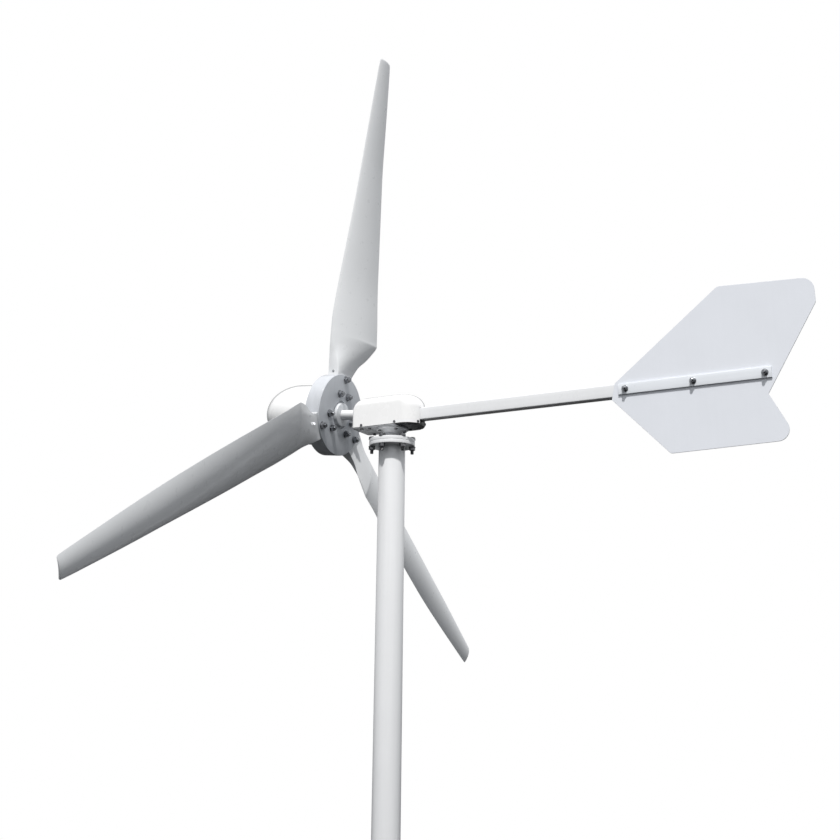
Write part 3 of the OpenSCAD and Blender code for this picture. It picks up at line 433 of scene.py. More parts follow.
MATERIALS = {
    "grey_paint": paint("mast_paint", (0.84, 0.85, 0.87), 0.33, 0.35, edge=(0.60, 0.61, 0.63)),
    "flange_paint": paint("flange_paint", (0.84, 0.85, 0.87), 0.38, 0.25, edge=(0.60, 0.61, 0.62)),
    "hub_grey": paint("hub_grey", (0.54, 0.565, 0.605), 0.36, 0.25, edge=(0.75, 0.76, 0.78), streaks=0.06),
    "boss_grey": paint("boss_grey", (0.70, 0.72, 0.75), 0.32, 0.3, edge=(0.85, 0.86, 0.88)),
    "drum_grey": paint("drum_grey", (0.58, 0.60, 0.64), 0.34, 0.25, edge=(0.85, 0.86, 0.88), streaks=0.10),
    "white_paint": paint("white_paint", (0.86, 0.865, 0.875), 0.30, 0.4, edge=(0.66, 0.67, 0.68)),
    # painted shade: a strong dark rim along the boom's outlines
    "boom_white": paint(
        "boom_white", (0.84, 0.85, 0.87), 0.30, 0.4, edge=(0.66, 0.67, 0.68), streaks=0.02, rim=0.85
    ),
    "clamp_paint": paint("clamp_paint", (0.80, 0.83, 0.88), 0.32, 0.3, edge=(0.9, 0.9, 0.92), streaks=0.01),
    "vane_paint": paint("vane_paint", (0.785, 0.81, 0.868), 0.34, 0.2, edge=(0.50, 0.51, 0.54), streaks=0.01),
    # painted shade: a strong, wide dark rim along the cover's outlines
    "cover_white": paint(
        "cover_white", (0.96, 0.96, 0.965), 0.28, 0.45, peel=0.00004, streaks=0.015, edge=(0.75, 0.75, 0.76),
        rim=0.85, rim_shade_start=0.64
    ),
    # painted shade: the tray's tail, beyond 50 mm along x, is painted near black for the dark interior under
    # the cover's tail
    "tray_paint_and_shade": paint(
        "tray_paint_and_shade", (0.88, 0.89, 0.91), 0.4, 0.2, edge=(0.5, 0.5, 0.52), second=(0.02, 0.02, 0.022),
        second_from=0.050
    ),
    "white_gelcoat": gelcoat("white_gelcoat", (0.78, 0.795, 0.815)),
    "dark_paint": paint("dark_paint", (0.035, 0.036, 0.038), 0.5, 0.1, edge=(0.10, 0.10, 0.10), crevice_shade_and_dirt=0.0),
    "dark_fastener": plated(
        "dark_fastener", (0.20, 0.20, 0.21), 0.30, tarnish=(0.05, 0.05, 0.05), amount=0.6
    ),
    "black_fastener": plated(
        "black_fastener", (0.22, 0.22, 0.23), 0.24, tarnish=(0.04, 0.04, 0.04), amount=0.7
    ),
    "zinc_fastener": plated(
        "zinc_fastener", (0.33, 0.34, 0.36), 0.18, tarnish=(0.08, 0.08, 0.08), amount=0.55
    ),
    "plain_steel": plated("plain_steel", (0.55, 0.55, 0.57), 0.34),
    "bearing_steel": plated("bearing_steel", (0.74, 0.74, 0.76), 0.18, amount=0.12),
    "cast_aluminium": cast("cast_aluminium", (0.66, 0.67, 0.69)),
    "lamination": laminated("lamination", (0.45, 0.45, 0.47)),
    "winding": wound("winding", (0.78, 0.36, 0.16)),
    "copper": plated("copper", (0.80, 0.42, 0.26), 0.28, tarnish=(0.28, 0.16, 0.10), amount=0.4),
    "black_plastic": moulded("black_plastic", (0.02, 0.02, 0.022), 0.45),
    "black_rubber": moulded("black_rubber", (0.012, 0.012, 0.012), 0.7),
    "grey_rubber": moulded("grey_rubber", (0.46, 0.47, 0.49), 0.6),
    "magnet": plated("magnet", (0.50, 0.51, 0.54), 0.3, amount=0.2),
    "carbon": moulded("carbon", (0.018, 0.018, 0.02), 0.38),
}

NODE_LOOKS = {
    "grey_paint": ("mast_tube", "yaw_tube"),
    "flange_paint": ("mast_base_flange", "mast_top_flange", "yaw_housing"),
    "hub_grey": ("hub_disc",),
    "white_paint": ("boom", "vane", "vane_clamp", "main_shaft", "hub_boss", "hub_drum"),
    "cover_white": ("nacelle_cover", "nose_cone"),
    "white_gelcoat": ("blade_1", "blade_2", "blade_3"),
    "dark_paint": ("boom_bracket", "generator_cradle"),
    "tray_paint_and_shade": ("base_tray",),
    "dark_fastener": (
        "flange_bolts", "flange_nuts", "flange_washers", "tray_bolts", "tray_nuts", "cover_screws",
        "tie_rods", "yaw_circlip", "yaw_locknut", "boss_screws", "hub_nut",
    ),
    "zinc_fastener": ("blade_bolts", "blade_nuts", "boom_bolts", "boom_nuts"),
    "plain_steel": ("yaw_outer_spacer", "yaw_inner_spacer", "shaft_key", "rotor_core"),
    "bearing_steel": (
        "yaw_outer_races", "yaw_balls", "yaw_inner_races", "brush_springs", "shaft_outer_races",
        "shaft_balls", "shaft_inner_races",
    ),
    "cast_aluminium": ("generator_housing", "front_shield", "rear_shield"),
    "lamination": ("stator_core",),
    "winding": ("stator_windings",),
    "copper": ("slip_rings",),
    "black_plastic": ("brush_holder", "slip_ring_drum"),
    "black_rubber": ("mast_cable", "shaft_seal", "phase_cable"),
    "grey_rubber": ("yaw_seal",),
    "magnet": ("magnets",),
    "carbon": ("brushes",),
}
for look, nodes in NODE_LOOKS.items():
    for node in nodes:
        for slot in frame["nodes"][node].material_slots:
            slot.material = MATERIALS[look]


# ---------------------------------------------------------------- measuring the frame

UPRIGHT = Matrix()


def reach(node, matrix=UPRIGHT):
    """Lowest and highest corner of a node in a frame, and its least and greatest distance from the z axis."""
    points = local(np.concatenate(solids(node)), matrix)
    radii = np.hypot(points[:, 0], points[:, 1])
    return Vector(points.min(0)), Vector(points.max(0)), radii.min(), radii.max()


def places(node, matrix=UPRIGHT):
    """For each solid of a node: a place on its axis, turned to its furthest corner, and its span along z."""
    found = []
    for points in solids(node):
        inside = local(points, matrix)
        middle = (inside.min(0) + inside.max(0)) / 2
        across = inside[:, :2] - middle[:2]
        far = across[np.hypot(across[:, 0], across[:, 1]).argmax()]
        turn = math.atan2(far[1], far[0])
        place = matrix @ Matrix.Translation((middle[0], middle[1], 0)) @ Matrix.Rotation(turn, 4, "Z")
        found.append((place, inside[:, 2].min(), inside[:, 2].max(), np.hypot(far[0], far[1])))
    return found


def flipped(place, z):
    """The same place at height z with its z axis pointing the other way."""
    return place @ Matrix.Translation((0, 0, z)) @ Matrix.Rotation(math.pi, 4, "X")


def raised(place, z):
    """The same place moved to height z."""
    return place @ Matrix.Translation((0, 0, z))


# ---------------------------------------------------------------- turned pieces

def turned(name, node, outline, matrix, look, body, cutters=(), segments=160):
    """A piece turned on a lathe, with its outline's corners rounded, in place of a CAD node."""
    bm = bmesh.new()
    lathe(bm, fillet(outline, 4), matrix, segments)
    obj = object_of(name, bm)
    for shape in cutters:
        carve(obj, shape)
    finish_piece(obj, look, body, (node,))


def holes(node, matrix, radius, low, high, wanted=lambda at: True):
    """Cutter with a bar through each solid of a node whose position is wanted."""
    bm = bmesh.new()
    for place, *_ in places(node, matrix):
        if wanted(place.translation):
            peg(bm, place, radius, low, high)
    return bm


# hexagon bolts: radius of the shank and of its clearance hole, head, shank up to the thread, pitch
Thread = namedtuple("Thread", "radius hole head_height plain_length pitch")
M8 = Thread(4 * MM, 4.3 * MM, 5.3 * MM, 10 * MM, 1.25 * MM)
M12 = Thread(6 * MM, 6.3 * MM, 7.5 * MM, 30 * MM, 1.75 * MM)
M14 = Thread(7 * MM, 7.3 * MM, 9 * MM, 30 * MM, 2 * MM)
M16 = Thread(8 * MM, 8.3 * MM, 10 * MM, 72 * MM, 2 * MM)


def mast():
    """Mast tube, its top flange with a weld, and the yaw housing."""
    low, high, inner, outer = reach("mast_tube")
    edge = 0.8 * MM
    turned("mast_tube_skin", "mast_tube", [
        (inner, low.z, edge), (outer, low.z, edge), (outer, high.z, edge), (inner, high.z, edge),
    ], UPRIGHT, "grey_paint", "mast", segments=192)

    low, high, inner, rim = reach("mast_top_flange")
    edge = 1.4 * MM
    bolt_holes = holes("flange_nuts", UPRIGHT, M14.hole, low.z - 0.01, high.z + 0.01)
    turned("mast_top_flange_skin", "mast_top_flange", [
        (inner, low.z, 0), (rim, low.z, edge), (rim, high.z, edge), (inner, high.z, 0),
    ], UPRIGHT, "flange_paint", "mast", [bolt_holes])
    weld("mast_top_weld", outer, low.z, -1)
    joint_z = high.z

    low, high, gap, rim = reach("yaw_housing")
    lip = joint_z + 14 * MM
    cone_top = high.z - 4 * MM
    roof = joint_z - 2 * MM
    collar_r, cone_r, cone_foot_r, spigot_r = 38 * MM, 45 * MM, 62 * MM, 50 * MM
    bore = 40 * MM
    groove_r = bore + 1.6 * MM
    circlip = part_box("yaw_circlip")
    groove_low, groove_high = circlip[0].z - 0.2 * MM, circlip[1].z + 0.2 * MM
    bolt_holes = holes("flange_nuts", UPRIGHT, M14.hole, joint_z - 0.005, lip + 0.01)
    turned("yaw_housing_skin", "yaw_housing", [
        (gap, high.z, 0), (collar_r, high.z, 1 * MM), (collar_r, cone_top, 1.5 * MM),
        (cone_r, cone_top, 3 * MM), (cone_foot_r, lip, 6 * MM), (rim, lip, 1.6 * MM),
        (rim, joint_z, 1.4 * MM), (spigot_r, joint_z, 0), (spigot_r, low.z, 1 * MM),
        (bore, low.z, 0.6 * MM), (bore, groove_low, 0), (groove_r, groove_low, 0),
        (groove_r, groove_high, 0), (bore, groove_high, 0), (bore, roof, 0), (gap, roof, 0),
    ], UPRIGHT, "flange_paint", "mast", [bolt_holes])


def weld(name, radius, height, side):
    """Rippled fillet weld between a tube and a flange, above (1) or below (-1) the flange's face."""
    size = 4.5 * MM
    steps = 6
    turns = 260
    bm = bmesh.new()
    rows = []
    for i in range(turns):
        a = TAU * i / turns
        swell = size * (1 + 0.07 * math.sin(a * 65) + 0.04 * math.sin(a * 23 + 1))
        row = [(radius - 0.5 * MM, 0), (radius + swell, 0)]
        for j in range(1, steps):
            b = math.pi / 2 * j / steps
            row.append((radius + swell * (1 - 0.8 * math.sin(b)), swell * (1 - 0.8 * math.cos(b))))
        row.append((radius - 0.5 * MM, swell))
        rows.append([Vector((r * math.cos(a), r * math.sin(a), height + side * z)) for r, z in row])
    add_ring(bm, rows)
    finish_piece(object_of(name, bm), "flange_paint", "mast", sharp=60)


def neck():
    """Yaw tube with its flare and plate."""
    low, high, _, plate_r = reach("yaw_tube")
    plate = high.z - 8 * MM
    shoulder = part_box("yaw_inner_races")[1].z
    step = low.z + 80 * MM
    thread_top = step - 8 * MM
    thread_r, race_r, tube_r, flare_r = 20 * MM, 25 * MM, 32 * MM, 44 * MM
    low_bore, bore = 16 * MM, 19 * MM

    def in_plate(at):
        return math.hypot(at.x, at.y) < plate_r

    bolt_holes = holes("tray_nuts", UPRIGHT, M8.hole, plate - 0.01, high.z + 0.002, in_plate)
    turned("yaw_tube_skin", "yaw_tube", [
        (low_bore, low.z, 0.5 * MM), (thread_r, low.z, 0.8 * MM), (thread_r, thread_top, 0),
        (race_r, thread_top, 0.6 * MM), (race_r, shoulder, 0), (tube_r, shoulder, 0.6 * MM),
        (tube_r, plate - 16 * MM, 8 * MM), (flare_r, plate, 0.5 * MM), (plate_r, plate, 1.2 * MM),
        (plate_r, high.z, 0.5 * MM), (bore, high.z, 0), (bore, step, 0), (low_bore, step, 0),
    ], UPRIGHT, "grey_paint", "nacelle", [bolt_holes], segments=128)


ROOT_DEPTH = 50 * MM        # thickness of the blade roots between disc and front plate


def hub():
    """Disc, drum, boss, shaft and nose cone of the rotor."""
    low, high, bore, rim = reach("hub_disc", ROTOR)
    disc_front, disc_rear = low.z, high.z
    bolt_holes = holes("blade_nuts", ROTOR, M16.hole, disc_front - 0.01, disc_rear + 0.01)
    turned("hub_disc_skin", "hub_disc", [
        (bore, disc_front, 0.5 * MM), (rim, disc_front, 0.5 * MM),
        (rim, disc_rear, 1.6 * MM), (bore, disc_rear, 1.2 * MM),
    ], ROTOR, "hub_grey", "rotor", [bolt_holes], segments=224)

    low, high, bore, rim = reach("hub_drum", ROTOR)
    plate_front = low.z + 12 * MM
    plate_back = disc_front - ROOT_DEPTH
    nose_r = reach("nose_cone", ROTOR)[3]
    lip_out, lip_in = nose_r - 2.7 * MM, nose_r - 6 * MM
    skirt_in = rim - 4 * MM
    bolt_holes = holes("blade_nuts", ROTOR, M16.hole, plate_front - 0.005, plate_back - 0.001)
    windows = bmesh.new()
    for angle in blade_angles():
        window_low = (0.13, (TE_ROOT - 0.5) * MM, plate_back + 0.02 * MM)
        window_high = (0.25, (LE_ROOT + 0.5) * MM, disc_front + 0.01)
        block(windows, blade_frame(angle), window_low, window_high)
    turned("hub_drum_skin", "hub_drum", [
        (bore, plate_back, 0.8 * MM), (bore, plate_front, 0.8 * MM), (lip_in, plate_front, 0),
        (lip_in, low.z, 0.8 * MM), (lip_out, low.z, 0.8 * MM), (lip_out, plate_front, 0),
        (rim, plate_front, 2.5 * MM), (rim, high.z, 0.8 * MM), (skirt_in, high.z, 0.5 * MM),
        (skirt_in, plate_back, 1 * MM),
    ], ROTOR, "drum_grey", "rotor", (bolt_holes, windows), segments=224)

    low, high, bore, flange_r = reach("hub_boss", ROTOR)
    barrel_r = 50 * MM
    screw_holes = holes("boss_screws", ROTOR, M8.hole, low.z - 0.01, disc_front + 0.003)
    turned("hub_boss_skin", "hub_boss", [
        (bore, low.z, 0.8 * MM), (flange_r, low.z, 1 * MM), (flange_r, disc_front, 0.4 * MM),
        (barrel_r, disc_front, 2 * MM), (barrel_r, high.z, 3.5 * MM), (bore, high.z, 0.8 * MM),
    ], ROTOR, "boss_grey", "rotor", [screw_holes])

    low, high, _, body_r = reach("main_shaft", ROTOR)
    boss_low, boss_high = reach("hub_boss", ROTOR)[:2]
    front_race, rear_race = sorted((a, b) for _, a, b, _ in places("shaft_inner_races", ROTOR))
    nut_r, boss_r, front_r, core_r, rear_r = 15 * MM, 17.5 * MM, 20 * MM, 19 * MM, 15 * MM
    turned("main_shaft_skin", "main_shaft", [
        (0, low.z, 0), (nut_r, low.z, 1.5 * MM), (nut_r, boss_low.z, 0.4 * MM),
        (boss_r, boss_low.z, 0.4 * MM), (boss_r, boss_high.z, 0),
        (body_r, boss_high.z, 0.8 * MM), (body_r, front_race[0], 0.5 * MM),
        (front_r, front_race[0], 0), (front_r, front_race[1], 0.4 * MM), (core_r, front_race[1], 0.4 * MM),
        (core_r, rear_race[0], 0.4 * MM), (rear_r, rear_race[0], 0), (rear_r, high.z, 1 * MM), (0, high.z, 0),
    ], ROTOR, "white_paint", "rotor", segments=96)

    low, high, _, radius = reach("nose_cone", ROTOR)
    wall = 2.5 * MM
    start = low.z + 0.6 * (high.z - low.z)
    steps = 44
    outline = []
    for inset, order in ((0, range(steps + 1)), (wall, range(steps, -1, -1))):
        for i in order:
            a = math.pi / 2 * i / steps
            outline.append(((radius - inset) * math.cos(a), start - (start - low.z - inset) * math.sin(a), 0))
    outline = [(radius - wall, high.z, 0.7 * MM), (radius, high.z, 0.7 * MM)] + outline
    turned("nose_cone_skin", "nose_cone", outline, ROTOR,
           "cover_white", "rotor", segments=192)


def blade_angles():
    """Turn of each blade in the rotor frame: the direction of its outer bolt."""
    nuts = [place.translation for place, *_ in places("blade_nuts", ROTOR)]
    across = [ROTOR.inverted() @ p for p in nuts]
    outer = max(math.hypot(p.x, p.y) for p in across)
    return [math.atan2(p.y, p.x) for p in across if math.hypot(p.x, p.y) > outer - 1 * MM]


def blade_frame(angle):
    """The rotor frame turned so that its x axis points along a blade."""
    return ROTOR @ Matrix.Rotation(angle, 4, "Z")


# ---------------------------------------------------------------- blades

# sizes in millimetres
LE_ROOT, TE_ROOT = 55, -57
ROOT_FRONT, ROOT_REAR = -56.98, -7.02
HOLD_R = 174                # the root stays a plain block out to here
FOIL_R = 300                # from here outwards the section is all aerofoil
FORM_R = 345                # radius of the widest section
ROOT_R, TIP_R = 72, 1672
TIP_START = TIP_R - 8       # from here outwards the tip's corners turn in
# radius, leading edge (across, downwind), trailing edge (across, downwind), thickness
SECTIONS = [
    (ROOT_R, LE_ROOT, ROOT_FRONT, TE_ROOT, ROOT_REAR, 40),
    (168, LE_ROOT, ROOT_FRONT, TE_ROOT, ROOT_REAR, 40),
    (HOLD_R, LE_ROOT, ROOT_FRONT, TE_ROOT, ROOT_REAR, 40),
    (224, 60.5, -57.5, -77, 6, 40),
    (258, 64, -58.5, -105, 18, 40),
    (290, 68, -59.5, -126, 29, 39),
    (332, 71.3, -61.3, -148, 40, 37),
    (FORM_R, 72, -61.8, -148, 39, 36.5),
    (430, 75.5, -64, -140, 33.5, 33),
    (573, 74, -59.5, -129.4, 20, 27),
    (764, 71, -50, -116.7, 7, 22),
    (954, 66.4, -42.5, -102.5, -4.5, 18),
    (1145, 62, -37.5, -86, -14.5, 15),
    (1336, 58.4, -33.5, -68.8, -18, 12),
    (1527, 53, -30.5, -49.6, -20.5, 9),
    (TIP_START, 47.5, -28.3, -34.5, -22.8, 7),
    (TIP_R, 44, -28, -31, -22.8, 6),
]
CAMBER = 0.07
REAR_CORNER, FRONT_CORNER = 0.109, 0.891
BLOCK_EDGE = 1.6            # rounding of the root block's long edges
AROUND = 160


def clamp01(u):
    return min(max(u, 0.0), 1.0)


def ease(u):
    u = clamp01(u)
    return u * u * (3 - 2 * u)


def section_value(r, c):
    """Column c of the section table at radius r, by cubic curves through the rows."""
    i = max(k for k in range(len(SECTIONS) - 1) if SECTIONS[k][0] <= r + 0.001)
    a, b = SECTIONS[i], SECTIONS[i + 1]

    def slope(k):
        if k in (0, len(SECTIONS) - 1):
            return 0.0
        return (SECTIONS[k + 1][c] - SECTIONS[k - 1][c]) / (SECTIONS[k + 1][0] - SECTIONS[k - 1][0])

    h = b[0] - a[0]
    u = (r - a[0]) / h
    return (
        a[c] * (2 * u**3 - 3 * u**2 + 1) + h * slope(i) * (u**3 - 2 * u**2 + u)
        + b[c] * (3 * u**2 - 2 * u**3) + h * slope(i + 1) * (u**3 - u**2)
    )


def half_thickness(x):
    return 5 * (0.2969 * math.sqrt(x) - 0.1260 * x - 0.3516 * x**2 + 0.2843 * x**3 - 0.1015 * x**4)


def block_point(le, te, x, rear):
    """Point of the root block, a rectangle with the two edges as opposite corners and rounded long edges."""
    if rear:
        p = Vector((
            le.x + (te.x - le.x) * clamp01((x - REAR_CORNER) / (1 - REAR_CORNER)),
            le.y + (te.y - le.y) * clamp01(x / REAR_CORNER),
        ))
    else:
        p = Vector((
            le.x + (te.x - le.x) * clamp01(x / FRONT_CORNER),
            le.y + (te.y - le.y) * clamp01((x - FRONT_CORNER) / (1 - FRONT_CORNER)),
        ))
    inner = Vector((
        min(max(p.x, te.x + BLOCK_EDGE), le.x - BLOCK_EDGE),
        min(max(p.y, le.y + BLOCK_EDGE), te.y - BLOCK_EDGE),
    ))
    return inner + (p - inner).normalized() * BLOCK_EDGE


def foil_point(le, te, thick, x, rear):
    """Point of the cambered aerofoil between the two edges."""
    chord = te - le
    n = Vector((chord.y, -chord.x)).normalized()
    face = 1 if rear else -1
    return le + chord * x + n * (face * thick * half_thickness(x) + 4 * CAMBER * chord.length * x * (1 - x))


def blade_section(r):
    """Closed outline of the blade at radius r: block at the root, aerofoil outside, blended between."""
    le = Vector((section_value(r, 1), section_value(r, 2)))
    te = Vector((section_value(r, 3), section_value(r, 4)))
    thick = section_value(r, 5)
    foil = 1 - (1 - clamp01((r - HOLD_R) / (FOIL_R - HOLD_R))) ** 2
    points = []
    for j in range(AROUND):
        x = (1 + math.cos(TAU * j / AROUND)) / 2
        rear = j <= AROUND / 2
        p = foil_point(le, te, thick, x, rear)
        if foil < 1:
            p = block_point(le, te, x, rear) * (1 - foil) + p * foil
        points.append(p)
    return points


def steps_to(start, end, count):
    """The ends of that many equal steps from start to end."""
    return [start + (end - start) * i / count for i in range(1, count + 1)]


def blade(name, node, angle):
    """One blade: lofted through its sections, with rounded ends and the holes of its bolts."""
    turn = blade_frame(angle)
    edge = 1.5
    stations = [ROOT_R, ROOT_R + edge] + steps_to(ROOT_R + edge, HOLD_R, 12)
    stations += steps_to(HOLD_R, FORM_R, 44) + steps_to(FORM_R, TIP_START, 90)
    stations += steps_to(TIP_START, TIP_R - edge, 4) + [TIP_R - 0.4 * edge, TIP_R]
    drawn_in = {0: edge, len(stations) - 2: 0.35 * edge, len(stations) - 1: edge}
    rows = []
    for i, r in enumerate(stations):
        points = blade_section(r)
        if i in drawn_in:
            middle = sum(points, Vector((0, 0))) / len(points)
            points = [middle + (p - middle) * (1 - drawn_in[i] / max((p - middle).length, 6)) for p in points]
        rows.append([turn @ (Vector((r, p.x, p.y)) * MM) for p in points])
    bm = bmesh.new()
    add_solid(bm, rows)
    obj = object_of(name, bm)

    def in_this_root(bolt_place):
        at = turn.inverted() @ bolt_place
        return at.x > 0.05 and abs(at.y) < 0.05

    carve(obj, holes("blade_nuts", ROTOR, M16.hole, -0.07, 0.01, in_this_root))
    finish_piece(obj, "white_gelcoat", "rotor", (node,), sharp=32)


def blades():
    """The three blades, each in place of the node that lies along it."""
    nodes = ["blade_1", "blade_2", "blade_3"]
    for angle in blade_angles():
        direction = blade_frame(angle).to_3x3() @ Vector((1, 0, 0))
        node = max(nodes, key=lambda n: (sum(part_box(n), Vector()) - 2 * ROTOR.translation).dot(direction))
        blade(node + "_skin", node, angle)


# ---------------------------------------------------------------- nacelle cover, tray, boom and vane

def cover_slice(z, inset, low, high):
    """Plan outline of the cover at a height: a rectangle whose corners open out towards the top."""
    top = high.z - inset
    side_r, tail_r = 34 * MM, 56 * MM
    brow_in, brow_down = 37 * MM, 56 * MM
    corner_low, corner_gain = 14 * MM, 16 * MM

    def drop(height, across):
        """How far an edge rounded over that height and that far across has drawn in at z."""
        u = clamp01((z - (top - height + inset)) / (height - inset))
        return (across - inset) * (1 - math.sqrt(1 - u * u))

    front = low.x + inset + drop(brow_down, brow_in)
    back = high.x - inset - drop(tail_r, tail_r)
    half = (high.y - low.y) / 2 - inset - drop(side_r, side_r)
    front_r = corner_low - inset + corner_gain * ease((z - (top - brow_down)) / brow_down)
    back_r = min((high.y - low.y) / 2 - 3 * MM - inset, half - 1 * MM)
    return fillet([
        (front, -half, front_r), (back, -half, back_r), (back, half, back_r), (front, half, front_r),
    ], 14)


def nacelle_cover():
    """Moulded cover: smooth outside, hollow inside, slots for the shaft and the boom."""
    low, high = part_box("nacelle_cover")
    wall = 2.5 * MM
    bm = bmesh.new()
    rows = []
    levels = [0, 0.25, 0.5] + [0.5 + 0.5 * math.sin(math.pi / 2 * i / 34) for i in range(1, 35)]
    for inset, order in ((0.0, levels), (wall, levels[::-1])):
        for u in order:
            z = low.z + (high.z - inset - low.z) * u
            rows.append([Vector((p.x, p.y, z)) for p in cover_slice(z, inset, low, high)])
    outer = add_grid(bm, rows[:len(levels)], cap_high=True)
    inner = add_grid(bm, rows[len(levels):], cap_low=True)
    join_rows(bm, outer[0], inner[-1])
    obj = object_of("nacelle_cover_skin", bm)

    cutter = bmesh.new()
    shaft_z = (ROTOR @ Vector((0, 0, (low.x - ROTOR.translation.x) / spin_axis.x))).z
    slot_r = 25 * MM
    under, arch_r = low.z - 0.01, slot_r - 0.1 * MM
    shape = fillet([
        (-slot_r, under, 0), (slot_r, under, 0),
        (slot_r, shaft_z + slot_r, arch_r), (-slot_r, shaft_z + slot_r, arch_r),
    ], 16)
    add_solid(cutter, [[Vector((x, p.x, p.y)) for p in shape] for x in (low.x - 0.01, low.x + 0.03)])
    boom_low, boom_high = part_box("boom")
    gap = 1.5 * MM
    slot_low = (high.x - 0.03, boom_low.y - gap, under)
    slot_high = (high.x + 0.01, boom_high.y + gap, boom_high.z + gap)
    block(cutter, UPRIGHT, slot_low, slot_high)
    carve(obj, cutter)
    finish_piece(obj, "cover_white", "nacelle", ("nacelle_cover",), sharp=40)


def tray():
    """Folded tray: the CAD node with its flat faces joined up and its sharp edges rounded."""
    bm = bmesh.new()
    bm.from_mesh(frame["nodes"]["base_tray"].data)
    bmesh.ops.remove_doubles(bm, verts=bm.verts, dist=2e-6)
    flat = math.radians(0.5)
    bmesh.ops.dissolve_limit(
        bm, angle_limit=flat, verts=bm.verts, edges=bm.edges, use_dissolve_boundaries=False
    )
    sharp = math.radians(30)
    edges = [e for e in bm.edges if len(e.link_faces) == 2 and e.calc_face_angle(0) > sharp]
    bmesh.ops.bevel(
        bm, geom=edges, offset=0.8 * MM, segments=2, profile=0.5, affect="EDGES", clamp_overlap=True
    )
    obj = object_of("base_tray_skin", bm)
    finish_piece(obj, "tray_paint_and_shade", "nacelle", ("base_tray",))


SIDEWAYS = axes(Vector((1, 0, 0)), Vector((0, 0, 1)), Vector((0, -1, 0)), Vector((0, 0, 0)))


def boom():
    """Rectangular tube with rounded long edges, closed at its tail end."""
    low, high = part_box("boom")
    edge, wall = 4.0 * MM, 3.0 * MM
    mid_z = (low.z + high.z) / 2

    def outline(x, inset, corner):
        y, z = high.y - inset, high.z - mid_z - inset
        shape = fillet([(-y, -z, corner), (y, -z, corner), (y, z, corner), (-y, z, corner)], 6)
        return [Vector((x, p.x, mid_z + p.y)) for p in shape]

    bm = bmesh.new()
    soft = 0.6 * MM
    add_solid(bm, [
        outline(low.x, soft, edge - soft / 2), outline(low.x + soft, 0, edge),
        outline(high.x - soft, 0, edge), outline(high.x, soft, edge - soft / 2),
    ])
    obj = object_of("boom_skin", bm)
    cutter = bmesh.new()
    add_solid(cutter, [outline(low.x - 0.01, wall, edge - wall), outline(high.x - 8 * MM, wall, edge - wall)])
    carve(obj, cutter)
    carve(obj, holes("boom_nuts", SIDEWAYS, M12.hole, -0.03, 0.03))
    finish_piece(obj, "boom_white", "nacelle", ("boom",))


# corners of the vane in millimetres: distance from the yaw axis, height over the boom's middle, radius
VANE_CORNERS = [
    (961, -36, 6), (975, 26, 6), (1395, 349, 25), (1747, 331, 45),
    (1747, 237, 20), (1548, -77, 6), (1636, -248, 43), (1176, -257, 18),
]


def vane():
    """Flat sheet with rounded corners and a soft edge."""
    low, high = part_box("vane")
    boom_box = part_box("boom")
    mid_z = (boom_box[0].z + boom_box[1].z) / 2
    soft = 0.6 * MM
    shape = fillet([(x * MM, mid_z + z * MM, r * MM) for x, z, r in VANE_CORNERS], 14)
    centre = sum(shape, Vector((0, 0))) / len(shape)
    rows = []
    for y, inset in ((low.y, soft), (low.y + soft, 0), (high.y - soft, 0), (high.y, soft)):
        row = []
        for p in shape:
            kept = 1 - inset / (p - centre).length
            row.append(Vector((centre.x + (p.x - centre.x) * kept, y, centre.y + (p.y - centre.y) * kept)))
        rows.append(row)
    bm = bmesh.new()
    add_solid(bm, rows)
    obj = object_of("vane_skin", bm)
    carve(obj, clamp_holes())
    finish_piece(obj, "vane_paint", "nacelle", ("vane",))


def clamp_bar():
    """Flat bar with rounded long edges that clamps the vane to the boom."""
    low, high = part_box("vane_clamp")
    edge, soft = 1.2 * MM, 0.5 * MM
    rows = []
    for x, inset in ((low.x, soft), (low.x + soft, 0), (high.x - soft, 0), (high.x, soft)):
        shape = fillet([
            (low.y + inset, low.z + inset, edge), (high.y - inset, low.z + inset, edge),
            (high.y - inset, high.z - inset, edge), (low.y + inset, high.z - inset, edge),
        ], 4)
        rows.append([Vector((x, p.x, p.y)) for p in shape])
    bm = bmesh.new()
    add_solid(bm, rows)
    obj = object_of("vane_clamp_skin", bm)
    carve(obj, clamp_holes())
    finish_piece(obj, "clamp_paint", "nacelle", ("vane_clamp",))


def clamp_holes():
    """Cutter for the bolts of the clamp bar, which lie beyond the nacelle."""
    bar_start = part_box("vane_clamp")[0].x
    return holes("boom_nuts", SIDEWAYS, M12.hole, 0.0, 0.05, lambda at: at.x > bar_start)


# ---------------------------------------------------------------- fasteners

def hexagon(corner):
    """Radius of a hexagon against the angle, with a corner at angle zero."""
    return lambda a: corner * math.cos(math.pi / 6) / math.cos(a % (math.pi / 3) - math.pi / 6)


def hex_profile(corner, low, high, direction=1):
    """Profile up the side of a hexagon and over its chamfered top."""
    shape = hexagon(corner)
    inner = 0.93 * corner * math.cos(math.pi / 6)
    slope = math.tan(math.radians(32))
    return [(shape, low), (shape, lambda a: high - direction * (shape(a) - inner) * slope), (inner, high)]


def thread_profile(radius, low, high, pitch):
    """Profile of a helical thread and its chamfered end."""
    profile = []
    depth = 0.55 * pitch
    count = max(4, int((high - low) / pitch * 5))
    for i in range(count + 1):
        z = low + (high - low) * i / count
        chamfer = depth * (1 - min(1.0, (high - z) / pitch))

        def crest(a, z=z, chamfer=chamfer):
            return radius - depth * (0.5 - 0.5 * math.cos(TAU * z / pitch - a)) - chamfer

        profile.append((crest, z))
    return profile


def bolt(bm, place, size, head_r, length):
    """Hexagon bolt: its head stands below the place's origin, its shank points up the z axis."""
    profile = hex_profile(head_r, 0.0, -size.head_height, direction=-1)[::-1]
    profile += [(size.radius, 0.0), (size.radius, size.plain_length)]
    profile += thread_profile(size.radius, size.plain_length + 0.2 * MM, length, size.pitch)
    add_solid(bm, rows_at(place, profile))


